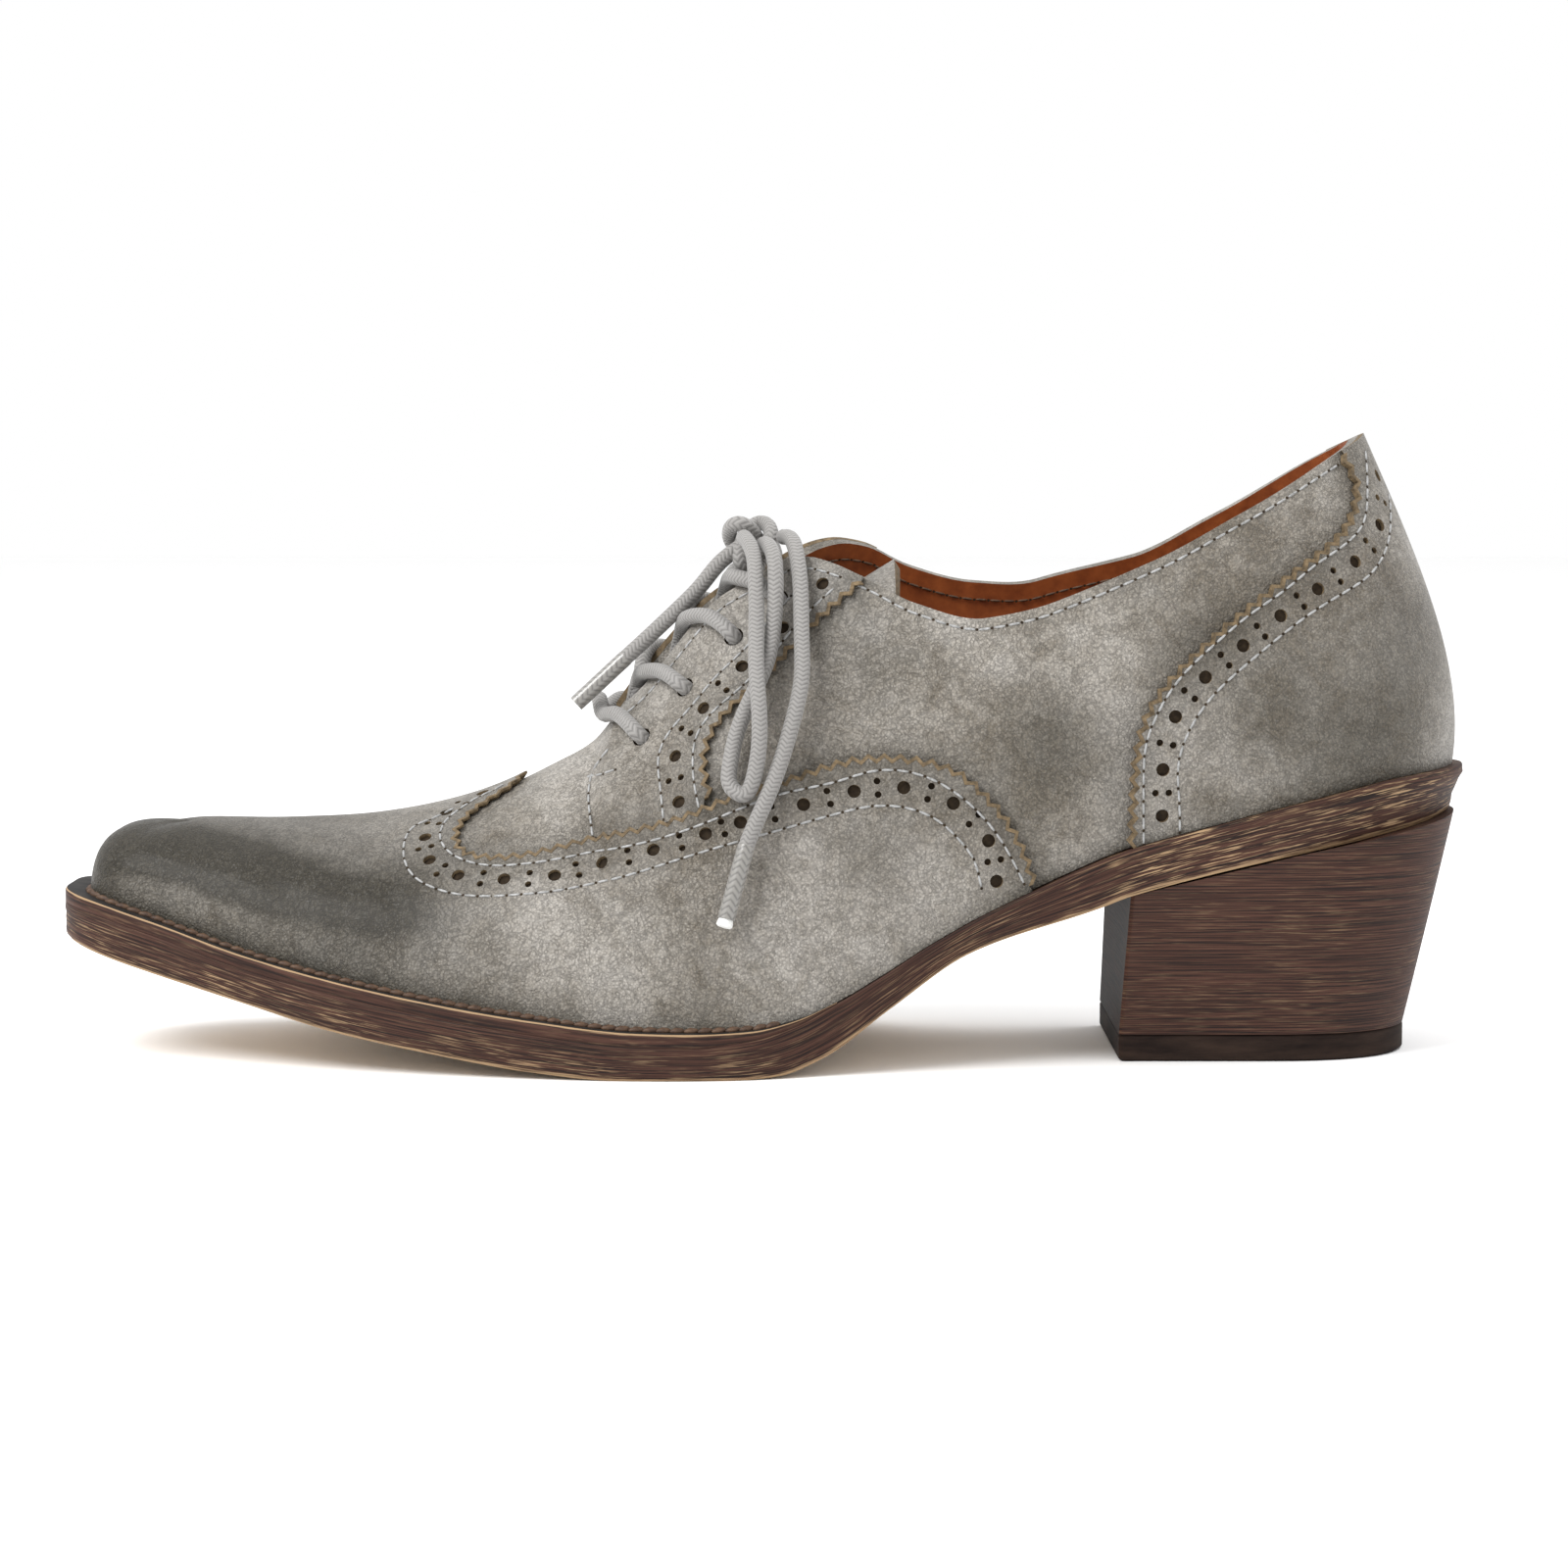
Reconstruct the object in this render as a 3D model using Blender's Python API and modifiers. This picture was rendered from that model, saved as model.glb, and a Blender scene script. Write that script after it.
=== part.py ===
"""Heeled lace-up brogue shoe, left foot, in metres, toe at -X, outer side at -Y, +Z up.

The origin is on the floor under the middle of the sole's length.
"""
import math

import bmesh
import bpy
import numpy as np
from mathutils import Matrix, Vector

# Last: the feather line is where the upper meets the sole
last_length = 0.2672
ball_width = 0.0825
quarter_height = 0.0653
toe_spring = 0.0226
heel_height = 0.0474

# Sole unit. The heel's breast and half width at the seat are shares of the last's length
# and of the ball width; the heel is straight over a share of its length, then rounds off
sole_edge = 0.0090
welt_thickness = 0.0024
welt_inner_reach = 0.0045
toe_extension = 0.0062
ball_extension = 0.0043
waist_extension = 0.0018
seat_extension = 0.0032
edge_rounding = 0.0010
insole_thickness = 0.0028
lift_thickness = 0.0052
heel_inset = 0.0019
lift_width = 0.0460
lift_length = 0.0583
breast_share = 0.7515
breast_lean = 0.0016
seat_half_share = 0.333
heel_straight_share = 0.50
heel_roundness = (0.86, 0.92)

# Upper
wall_thickness = 0.0020
overlay_thickness = 0.0010
tongue_thickness = 0.0022
clearance = 0.0003

# Laces
lace_diameter = 0.0031

# Mesh steps: up the wall, along and across the tongue, up the heel and along a lace
wall_steps = 10
tongue_steps = 12
tongue_across = 11
heel_rings = 4
lace_step = 1.4 * lace_diameter

# Feather line: place round the shoe, then x share of the last and half widths as shares
# of the ball width on the outer and inner side
feather_rows = (
    # place, x, outer, inner
    (0.000, 0.000, 0.000, 0.000),
    (0.030, 0.0015, 0.108, 0.108),
    (0.049, 0.012, 0.168, 0.166),
    (0.085, 0.048, 0.221, 0.216),
    (0.145, 0.111, 0.296, 0.290),
    (0.219, 0.189, 0.378, 0.373),
    (0.295, 0.271, 0.444, 0.447),
    (0.362, 0.345, 0.488, 0.491),
    (0.430, 0.419, 0.509, 0.491),
    (0.497, 0.4935, 0.496, 0.447),
    (0.565, 0.568, 0.447, 0.368),
    (0.634, 0.642, 0.390, 0.304),
    (0.701, 0.716, 0.352, 0.281),
    (0.768, 0.790, 0.333, 0.295),
    (0.836, 0.8645, 0.326, 0.314),
    (0.887, 0.920, 0.296, 0.294),
    (0.928, 0.961, 0.227, 0.227),
    (0.967, 0.989, 0.118, 0.118),
    (1.000, 1.000, 0.000, 0.000),
)

# Top line: ridge of the vamp, facing edge, then collar. Heights are above the feather
# line at the same place, as shares of the quarter height
top_rows = (
    # place, x, outer, inner, outer height, inner height
    (0.000, 0.0557, 0.000, 0.000, 0.184, 0.184),
    (0.049, 0.065, 0.000, 0.000, 0.198, 0.198),
    (0.085, 0.0835, 0.000, 0.000, 0.254, 0.254),
    (0.145, 0.1355, 0.000, 0.000, 0.334, 0.334),
    (0.219, 0.208, 0.000, 0.000, 0.428, 0.428),
    (0.295, 0.280, 0.000, 0.000, 0.552, 0.552),
    (0.362, 0.341, 0.000, 0.000, 0.704, 0.704),
    (0.395, 0.3675, 0.000, 0.000, 0.785, 0.785),
    (0.406, 0.3775, 0.036, 0.038, 0.835, 0.835),
    (0.430, 0.4025, 0.060, 0.066, 0.930, 0.982),
    (0.497, 0.471, 0.096, 0.102, 1.232, 1.252),
    (0.535, 0.510, 0.120, 0.128, 1.274, 1.282),
    (0.552, 0.523, 0.145, 0.155, 1.250, 1.272),
    (0.575, 0.5435, 0.185, 0.196, 1.178, 1.238),
    (0.600, 0.568, 0.237, 0.245, 1.070, 1.160),
    (0.634, 0.603, 0.290, 0.290, 0.920, 1.010),
    (0.680, 0.653, 0.328, 0.318, 0.782, 0.862),
    (0.725, 0.703, 0.338, 0.330, 0.744, 0.780),
    (0.790, 0.774, 0.316, 0.320, 0.778, 0.768),
    (0.850, 0.831, 0.269, 0.275, 0.830, 0.818),
    (0.900, 0.8775, 0.205, 0.208, 0.884, 0.880),
    (0.940, 0.909, 0.131, 0.131, 0.938, 0.938),
    (0.970, 0.926, 0.065, 0.065, 0.972, 0.972),
    (1.000, 0.932, 0.000, 0.000, 0.986, 0.986),
)

# Wall: the way it faces in plan, then the two handles that shape its section. Rise and
# drop are shares of the wall's height, bulge and reach are shares of the ball width
wall_rows = (
    # place, facing in degrees, rise, bulge, reach, drop
    (0.000, 180.0, 1.000, -0.006, 0.112, -0.016),
    (0.049, 137.0, 0.950, -0.001, 0.136, 0.010),
    (0.085, 118.0, 0.790, 0.012, 0.142, 0.028),
    (0.145, 105.0, 0.677, 0.020, 0.154, 0.035),
    (0.219, 99.0, 0.554, 0.025, 0.179, 0.027),
    (0.295, 94.0, 0.497, 0.031, 0.210, 0.026),
    (0.362, 91.0, 0.480, 0.036, 0.210, 0.036),
    (0.430, 90.0, 0.436, 0.031, 0.165, 0.080),
    (0.497, 90.0, 0.393, 0.005, 0.173, 0.110),
    (0.552, 90.0, 0.378, -0.012, 0.136, 0.165),
    (0.600, 90.0, 0.398, 0.000, 0.090, 0.242),
    (0.680, 90.0, 0.390, 0.025, 0.050, 0.312),
    (0.790, 88.0, 0.390, 0.037, 0.060, 0.331),
    (0.850, 76.0, 0.375, 0.034, 0.070, 0.335),
    (0.900, 56.0, 0.358, 0.032, 0.085, 0.338),
    (0.940, 37.0, 0.335, 0.034, 0.100, 0.338),
    (1.000, 0.0, 0.306, 0.037, 0.117, 0.337),
)

# Behind the toe the wall's upper handle takes up the slope of the vamp's ridge, between
# these two places round the shoe
ridge_fade = (0.10, 0.22)

# Sole lines in side view: x share of the last, then shares of the toe spring and of the
# heel height. The sole's top line is the feather line and stands the sole edge higher
tread_rows = (
    # x, spring, heel
    (-0.030, 1.060, 0.000),
    (0.054, 0.757, 0.000),
    (0.120, 0.549, 0.000),
    (0.187, 0.341, 0.000),
    (0.265, 0.173, 0.000),
    (0.327, 0.062, 0.000),
    (0.392, 0.000, 0.000),
    (0.474, 0.000, 0.000),
    (0.505, 0.000, 0.012),
    (0.535, 0.000, 0.072),
    (0.585, 0.000, 0.268),
    (0.640, 0.000, 0.474),
    (0.735, 0.000, 0.650),
    (0.756, 0.000, 0.695),
    (1.020, 0.000, 1.025),
)
seat_line_rows = (
    # x, spring, heel
    (-0.030, 1.065, 0.000),
    (0.000, 0.995, 0.000),
    (0.048, 0.832, 0.000),
    (0.122, 0.562, 0.000),
    (0.230, 0.279, 0.000),
    (0.334, 0.093, 0.000),
    (0.405, 0.009, 0.000),
    (0.449, 0.000, 0.000),
    (0.486, 0.000, 0.008),
    (0.516, 0.000, 0.042),
    (0.5455, 0.000, 0.110),
    (0.577, 0.000, 0.209),
    (0.612, 0.000, 0.329),
    (0.647, 0.000, 0.435),
    (0.687, 0.000, 0.540),
    (0.756, 0.000, 0.7025),
    (0.822, 0.000, 0.806),
    (0.8905, 0.000, 0.905),
    (0.957, 0.000, 0.985),
    (1.020, 0.000, 1.015),
)

# How far the sole's edge stands out from the feather line, round the shoe
extension_rows = (
    # place, toe, ball, waist, seat
    (0.000, 1.0, 0.0, 0.0, 0.0),
    (0.060, 0.8, 0.2, 0.0, 0.0),
    (0.180, 0.2, 0.8, 0.0, 0.0),
    (0.430, 0.0, 1.0, 0.0, 0.0),
    (0.480, 0.0, 0.85, 0.15, 0.0),
    (0.540, 0.0, 0.1, 0.9, 0.0),
    (0.700, 0.0, 0.0, 1.0, 0.0),
    (0.850, 0.0, 0.0, 0.2, 0.8),
    (1.000, 0.0, 0.0, 0.0, 1.0),
)

# Welt: it runs round the forefoot; behind the ball it narrows and the sole rises to
# meet the upper between the two places of the fade
welt_rows = (
    # place, reach share
    (0.000, 1.00),
    (0.440, 1.00),
    (0.480, 0.95),
    (0.510, 0.80),
)
welt_end = 0.510
welt_fade = (0.460, 0.545)

# Tongue: x share of the last, height of its middle above the feather line and droop of
# its edges as shares of the quarter height, half width as a share of the ball width
tongue_rows = (
    # x, height, droop, half width
    (0.330, 0.600, 0.100, 0.190),
    (0.365, 0.690, 0.125, 0.215),
    (0.4175, 0.850, 0.140, 0.235),
    (0.492, 1.060, 0.140, 0.235),
    (0.5485, 1.150, 0.130, 0.215),
    (0.5895, 1.160, 0.115, 0.190),
)

# Edges of the overlays in side view: x share of the last, height above the feather line
# as a share of the quarter height
wing_edge_rows = (
    # x, height
    (0.330, 0.800),
    (0.319, 0.655),
    (0.293, 0.560),
    (0.272, 0.490),
    (0.271, 0.450),
    (0.284, 0.422),
    (0.305, 0.430),
    (0.366, 0.513),
    (0.440, 0.608),
    (0.467, 0.652),
    (0.510, 0.683),
    (0.541, 0.678),
    (0.572, 0.632),
    (0.603, 0.549),
    (0.628, 0.462),
    (0.650, 0.345),
    (0.672, 0.185),
    (0.690, -0.060),
)
counter_edge_rows = (
    # x, height
    (0.905, 1.100),
    (0.916, 0.965),
    (0.924, 0.895),
    (0.923, 0.825),
    (0.914, 0.765),
    (0.890, 0.707),
    (0.858, 0.648),
    (0.819, 0.566),
    (0.786, 0.473),
    (0.768, 0.392),
    (0.760, 0.290),
    (0.757, 0.140),
    (0.757, -0.080),
)
eyestay_rear_rows = (
    # x, height
    (0.590, 1.240),
    (0.565, 1.180),
    (0.542, 1.148),
    (0.513, 1.077),
    (0.482, 0.971),
    (0.455, 0.855),
    (0.449, 0.760),
    (0.454, 0.660),
)
eyestay_front_rows = (
    # x, height
    (0.369, 0.532),
    (0.365, 0.585),
    (0.364, 0.646),
    (0.367, 0.704),
    (0.379, 0.785),
    (0.383, 0.850),
)

# Eyelets: place round the shoe and level up the wall, then the place where the lace
# crosses the facing's edge and, for its lowest point in the gap, x share of the last and
# height above the feather line as a share of the quarter height
eyelet_rows = (
    # place, up, crossing place, middle x, middle height
    (0.432, 0.743, 0.409, 0.3713, 0.905),
    (0.463, 0.768, 0.441, 0.400, 0.945),
    (0.497, 0.805, 0.472, 0.432, 1.090),
    (0.529, 0.858, 0.505, 0.466, 1.235),
)

# Knot and free laces, in metres: chosen points that the laces run through. The loop on
# the inner side is the outer one, mirrored and drawn in a little
knot_centre = (-0.0030, 0.0000, 0.1010)
knot_size = (0.0110, 0.0110, 0.0095)
loop_route = (
    (-0.0042, -0.0066, 0.1012), (-0.0032, -0.0108, 0.1002), (-0.0022, -0.0155, 0.0978),
    (-0.0018, -0.0196, 0.0942), (-0.0016, -0.0228, 0.0890), (-0.0016, -0.0266, 0.0822),
    (-0.0015, -0.0310, 0.0755), (-0.0010, -0.0342, 0.0690), (-0.0010, -0.0358, 0.0630),
    (-0.0018, -0.0366, 0.0576), (-0.0040, -0.0368, 0.0534), (-0.0062, -0.0358, 0.0546),
    (-0.0066, -0.0342, 0.0585), (-0.0056, -0.0320, 0.0635), (-0.0036, -0.0296, 0.0690),
    (-0.0012, -0.0275, 0.0740), (0.0006, -0.0257, 0.0784), (0.0015, -0.0240, 0.0830),
    (0.0020, -0.0226, 0.0886), (0.0021, -0.0212, 0.0932), (0.0018, -0.0178, 0.0974),
    (0.0006, -0.0118, 0.0998), (-0.0003, -0.0066, 0.0998),
)
inner_loop_width = 0.97
side_end_route = (
    (0.0036, -0.0046, 0.1012), (0.0052, -0.0108, 0.1008), (0.0062, -0.0162, 0.0978),
    (0.0068, -0.0202, 0.0930), (0.0070, -0.0234, 0.0875), (0.0071, -0.0264, 0.0818),
    (0.0070, -0.0300, 0.0745), (0.0055, -0.0328, 0.0675), (0.0034, -0.0352, 0.0605),
    (0.0014, -0.0370, 0.0550), (-0.0009, -0.0387, 0.0498), (-0.0030, -0.0402, 0.0450),
    (-0.0048, -0.0418, 0.0392), (-0.0072, -0.0438, 0.0305),
)
front_end_route = (
    (-0.0090, -0.0020, 0.0960), (-0.0125, -0.0026, 0.0918), (-0.0170, -0.0034, 0.0872),
    (-0.0220, -0.0044, 0.0825), (-0.0278, -0.0056, 0.0772), (-0.0330, -0.0064, 0.0724),
    (-0.0372, -0.0070, 0.0685),
)

leather_color = (0.27, 0.25, 0.225, 1.0)
overlay_color = (0.25, 0.23, 0.205, 1.0)
sole_color = (0.09, 0.045, 0.03, 1.0)
welt_color = (0.035, 0.03, 0.03, 1.0)
lining_color = (0.42, 0.15, 0.05, 1.0)
lace_color = (0.45, 0.43, 0.41, 1.0)


def clear_scene():
    for item in list(bpy.data.objects):
        bpy.data.objects.remove(item, do_unlink=True)


def make_collection(name):
    collection = bpy.data.collections.new(name)
    bpy.context.scene.collection.children.link(collection)
    return collection


def make_material(name, color, roughness, metallic=0.0):
    material = bpy.data.materials.new(name)
    material.use_nodes = True
    shader = material.node_tree.nodes["Principled BSDF"]
    shader.inputs["Base Color"].default_value = color
    shader.inputs["Roughness"].default_value = roughness
    shader.inputs["Metallic"].default_value = metallic
    return material


def column(rows, index):
    return np.array([row[index] for row in rows])


def hermite(knots, values, slopes, at):
    """Cubic pieces through the values with the given slopes."""
    at = np.clip(at, knots[0], knots[-1])
    piece = np.clip(np.searchsorted(knots, at, side="right") - 1, 0, len(knots) - 2)
    span = knots[piece + 1] - knots[piece]
    t = (at - knots[piece]) / span
    return ((2 * t ** 3 - 3 * t ** 2 + 1) * values[piece]
            + (t ** 3 - 2 * t ** 2 + t) * span * slopes[piece]
            + (3 * t ** 2 - 2 * t ** 3) * values[piece + 1]
            + (t ** 3 - t ** 2) * span * slopes[piece + 1])


def steady(knots, values, at):
    """A curve that never swings past its rows."""
    steps = np.diff(knots)
    rates = np.diff(values) / steps
    slopes = np.zeros(len(knots))
    for i in range(1, len(knots) - 1):
        before, after = rates[i - 1], rates[i]
        if before * after > 0:
            wide, narrow = 2 * steps[i] + steps[i - 1], steps[i] + 2 * steps[i - 1]
            slopes[i] = (wide + narrow) / (wide / before + narrow / after)
    slopes[0], slopes[-1] = rates[0], rates[-1]
    return hermite(knots, values, slopes, at)


def flowing(knots, values, at, level_ends=False):
    """A curve of even bending; its ends are straight, or level where asked."""
    count = len(knots)
    steps = np.diff(knots)
    rates = np.diff(values) / steps
    system = np.zeros((count, count))
    target = np.zeros(count)
    for i in range(1, count - 1):
        system[i, i - 1:i + 2] = steps[i], 2 * (steps[i - 1] + steps[i]), steps[i - 1]
        target[i] = 3 * (steps[i] * rates[i - 1] + steps[i - 1] * rates[i])
    if level_ends:
        system[0, 0] = system[-1, -1] = 1.0
    else:
        system[0, :2] = 2.0, 1.0
        system[-1, -2:] = 1.0, 2.0
        target[0], target[-1] = 3 * rates[0], 3 * rates[-1]
    return hermite(knots, values, np.linalg.solve(system, target), at)


def toe_x():
    """The feather line's foremost point, with the whole sole centred on the origin."""
    return toe_extension - (last_length + toe_extension + seat_extension) / 2


def at_share(share):
    return toe_x() + share * last_length


def share_at(x):
    return (x - toe_x()) / last_length


def line_height(rows, x):
    share = share_at(x)
    knots = column(rows, 0)
    spring = steady(knots, column(rows, 1), share)
    heel = steady(knots, column(rows, 2), share)
    return toe_spring * spring + heel_height * heel


def tread_height(x):
    return line_height(tread_rows, x)


def feather_height(x):
    return sole_edge + line_height(seat_line_rows, x)


def side_sign(side):
    """The outer side lies at -Y and the inner side at +Y."""
    return -1.0 if side == "outer" else 1.0


def feather_line(place, side):
    knots = column(feather_rows, 0)
    x = at_share(flowing(knots, column(feather_rows, 1), place, level_ends=True))
    width = flowing(knots, column(feather_rows, 2 if side == "outer" else 3), place)
    return x, side_sign(side) * ball_width * width


def feather_normal(place, side):
    """Outward direction in plan, square to the feather line."""
    step = 0.002
    x0, y0 = feather_line(np.clip(place - step, 0.0, 1.0), side)
    x1, y1 = feather_line(np.clip(place + step, 0.0, 1.0), side)
    along_x, along_y = x1 - x0, y1 - y0
    length = np.hypot(along_x, along_y)
    sign = side_sign(side)
    normal_x, normal_y = -sign * along_y / length, sign * along_x / length
    end = (place <= 0.0) | (place >= 1.0)
    normal_x = np.where(end, np.where(place <= 0.0, -1.0, 1.0), normal_x)
    normal_y = np.where(end, 0.0, normal_y)
    return normal_x, normal_y


def sole_extension(place):
    knots = column(extension_rows, 0)
    sizes = (toe_extension, ball_extension, waist_extension, seat_extension)
    return sum(size * steady(knots, column(extension_rows, 1 + i), place)
               for i, size in enumerate(sizes))


def offset_line(place, side, distance):
    """The feather line moved outwards in plan by a distance."""
    x, y = feather_line(place, side)
    normal_x, normal_y = feather_normal(place, side)
    return x + distance * normal_x, y + distance * normal_y


def top_line(place, side):
    knots = column(top_rows, 0)
    outer = side == "outer"
    x = at_share(steady(knots, column(top_rows, 1), place))
    width = steady(knots, column(top_rows, 2 if outer else 3), place)
    height = steady(knots, column(top_rows, 4 if outer else 5), place)
    base_x, base_y = feather_line(place, side)
    z = feather_height(base_x) + quarter_height * height
    return x, side_sign(side) * ball_width * width, z


def wall_point(place, up, side):
    """A point of the upper's outer face, up from 0 at the feather line to 1 at the top.

    Each section is a cubic curve: two ends and the two handles of the wall rows.
    """
    place, up = np.broadcast_arrays(np.asarray(place, float), np.asarray(up, float))
    knots = column(wall_rows, 0)
    facing = np.radians(flowing(knots, column(wall_rows, 1), place, level_ends=False))
    rise, bulge, reach, drop = (flowing(knots, column(wall_rows, i), place)
                                for i in range(2, 6))
    base_x, base_y = feather_line(place, side)
    base_z = feather_height(base_x)
    top_x, top_y, top_z = top_line(place, side)
    tall = top_z - base_z
    out_x, out_y = np.cos(facing), side_sign(side) * np.sin(facing)
    step = 0.004
    before = top_line(np.clip(place - step, 0.0, 1.0), side)
    after = top_line(np.clip(place + step, 0.0, 1.0), side)
    slope = (after[2] - before[2]) / (after[0] - before[0] + 1e-9)
    on_ridge = np.where(place < throat_place(), np.interp(place, ridge_fade, (0.0, 1.0)), 0.0)
    low = (base_x + bulge * ball_width * out_x,
           base_y + bulge * ball_width * out_y,
           base_z + rise * tall)
    reach_x = reach * ball_width * out_x
    high = (top_x + reach_x,
            top_y + reach * ball_width * out_y,
            top_z - drop * tall + on_ridge * slope * reach_x)
    a, b, c, d = (1 - up) ** 3, 3 * up * (1 - up) ** 2, 3 * up ** 2 * (1 - up), up ** 3
    return np.stack([a * base + b * first + c * second + d * top
                     for base, first, second, top in
                     zip((base_x, base_y, base_z), low, high, (top_x, top_y, top_z))], -1)


def throat_place():
    """The last place where the two sides still meet on the ridge."""
    return max(row[0] for row in top_rows if row[0] < 0.5 and row[2] == 0.0)


def wall_places():
    """Places round one side, closer together at the toe and at the throat."""
    toe = np.linspace(0.0, 0.085, 7)
    vamp = np.linspace(0.085, throat_place(), 12)[1:]
    facing = np.linspace(throat_place(), 0.600, 14)[1:]
    quarter = np.linspace(0.600, 0.900, 12)[1:]
    back = np.linspace(0.900, 1.0, 7)[1:]
    return np.concatenate([toe, vamp, facing, quarter, back])


def wall_ups():
    """Even levels up the wall."""
    return np.linspace(0.0, 1.0, wall_steps)


def new_object(name, mesh, collection, material=None):
    item = bpy.data.objects.new(name, mesh)
    collection.objects.link(item)
    if material:
        mesh.materials.append(material)
    return item


def mesh_from(name, points, faces, merge=0.00001):
    mesh = bpy.data.meshes.new(name)
    mesh.from_pydata([tuple(float(c) for c in p) for p in points], [], faces)
    shape = bmesh.new()
    shape.from_mesh(mesh)
    bmesh.ops.remove_doubles(shape, verts=shape.verts, dist=merge)
    bmesh.ops.recalc_face_normals(shape, faces=shape.faces)
    shape.to_mesh(mesh)
    shape.free()
    return mesh


def face_outwards(mesh):
    """Turn an open skin so that its faces look away from the shoe's middle."""
    shape = bmesh.new()
    shape.from_mesh(mesh)
    shape.normal_update()
    middle = sum((v.co for v in shape.verts), Vector()) / len(shape.verts)
    total = sum(face.calc_area() * face.normal.dot(face.calc_center_median() - middle)
                for face in shape.faces)
    if total < 0:
        bmesh.ops.reverse_faces(shape, faces=shape.faces)
    shape.to_mesh(mesh)
    shape.free()


def upper_skin(name, offset=0.0):
    """Both sides of the upper's outer face as one open skin, moved out by the offset."""
    places, ups = wall_places(), wall_ups()
    points, faces = [], []
    for side in ("outer", "inner"):
        start = len(points)
        grid = wall_point(places[:, None], ups[None, :], side)
        points += list(grid.reshape(-1, 3))
        wide = len(ups)
        for i in range(len(places) - 1):
            for j in range(wide - 1):
                a = start + i * wide + j
                faces.append((a, a + 1, a + wide + 1, a + wide))
    mesh = mesh_from(name, points, faces)
    face_outwards(mesh)
    if offset:
        mesh.update()
        shape = bmesh.new()
        shape.from_mesh(mesh)
        shape.normal_update()
        moves = [(vertex, vertex.normal.copy()) for vertex in shape.verts]
        for vertex, normal in moves:
            vertex.co += offset * normal
        shape.to_mesh(mesh)
        shape.free()
    return mesh


def add_thickness(item, thickness, side):
    shell = item.modifiers.new("Thickness", "SOLIDIFY")
    shell.thickness = thickness
    shell.offset = side
    shell.use_even_offset = True
    shell.use_quality_normals = True
    return shell


def cut_with(item, cutter, operation):
    cut = item.modifiers.new("Cut", "BOOLEAN")
    cut.operation = operation
    cut.object = cutter
    cut.solver = "EXACT"
    return cut


def mark_as_cutter(item):
    item.hide_render = True
    item.display_type = "WIRE"


def curve_to_mesh(curve_item, name, collection, material=None):
    """A welded mesh object in place of a curve object."""
    graph = bpy.context.evaluated_depsgraph_get()
    graph.update()
    mesh = bpy.data.meshes.new_from_object(curve_item.evaluated_get(graph))
    mesh.name = name
    shape = bmesh.new()
    shape.from_mesh(mesh)
    bmesh.ops.remove_doubles(shape, verts=shape.verts, dist=0.000001)
    shape.to_mesh(mesh)
    shape.free()
    matrix = curve_item.matrix_world.copy()
    bpy.data.objects.remove(curve_item, do_unlink=True)
    item = new_object(name, mesh, collection, material)
    item.matrix_world = matrix
    return item


def side_prism(name, outline, near_y, far_y, collection):
    """A cutter: a flat outline in side view, drawn out across the shoe."""
    curve = bpy.data.curves.new(name, "CURVE")
    curve.dimensions = "2D"
    curve.fill_mode = "BOTH"
    curve.extrude = abs(far_y - near_y) / 2
    spline = curve.splines.new("POLY")
    spline.points.add(len(outline) - 1)
    for point, (x, z) in zip(spline.points, outline):
        point.co = (x, z, 0.0, 1.0)
    spline.use_cyclic_u = True
    item = bpy.data.objects.new(name + "_curve", curve)
    collection.objects.link(item)
    item.rotation_euler = (math.pi / 2, 0.0, 0.0)
    item.location = (0.0, (near_y + far_y) / 2, 0.0)
    bpy.context.view_layer.update()
    cutter = curve_to_mesh(item, name, collection)
    mark_as_cutter(cutter)
    return cutter


def edge_curve(rows, count):
    """A smooth line through an overlay's edge rows, as points in side view."""
    shares, heights = column(rows, 0), column(rows, 1)
    x = at_share(shares)
    z = feather_height(x) + quarter_height * heights
    path = np.concatenate([[0.0], np.cumsum(np.hypot(np.diff(x), np.diff(z)))])
    at = np.linspace(0.0, path[-1], count)
    return list(zip(flowing(path, x, at), flowing(path, z, at)))


def overlay(name, outline, near_y, far_y, parts, cutters, material):
    """A leather overlay: the upper's own skin, cut to an outline in side view."""
    item = new_object(name, upper_skin(name, clearance), parts, material)
    add_thickness(item, overlay_thickness, 1.0)
    cutter = side_prism(name + "_outline", outline, near_y, far_y, cutters)
    cut_with(item, cutter, "INTERSECT")
    return item


def build_upper(parts, material):
    item = new_object("upper", upper_skin("upper"), parts, material)
    add_thickness(item, wall_thickness, -1.0)
    return item


def build_overlays(parts, cutters, material):
    front = toe_x() - toe_extension
    back = at_share(1.0) + 2 * seat_extension
    wide = ball_width
    floor = -sole_edge
    roof = feather_height(back) + 1.5 * quarter_height
    wing = edge_curve(wing_edge_rows, 44)
    ridge_x = wing[0][0]
    wing_outline = [(front, floor), (front, roof), (ridge_x, roof)] + wing
    wing_outline.append((wing[-1][0], floor))
    overlay("wing_cap", wing_outline, -wide, wide, parts, cutters, material)

    counter = edge_curve(counter_edge_rows, 30)
    counter_outline = [(back, floor), (back, roof), (counter[0][0], roof)] + counter
    counter_outline.append((counter[-1][0], floor))
    overlay("counter", counter_outline, -wide, wide, parts, cutters, material)

    rear = edge_curve(eyestay_rear_rows, 24)
    front_edge = edge_curve(eyestay_front_rows, 14)
    wing_top = [(x, z + 3 * clearance) for x, z in wing
                if front_edge[0][0] < x < rear[-1][0] and z < front_edge[-1][1]]
    outline = rear + wing_top[::-1] + front_edge + [(front_edge[-1][0], roof), (rear[0][0], roof)]
    overlay("eyestay_outer", outline, -wide, -clearance, parts, cutters, material)
    overlay("eyestay_inner", outline, clearance, wide, parts, cutters, material)


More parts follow.
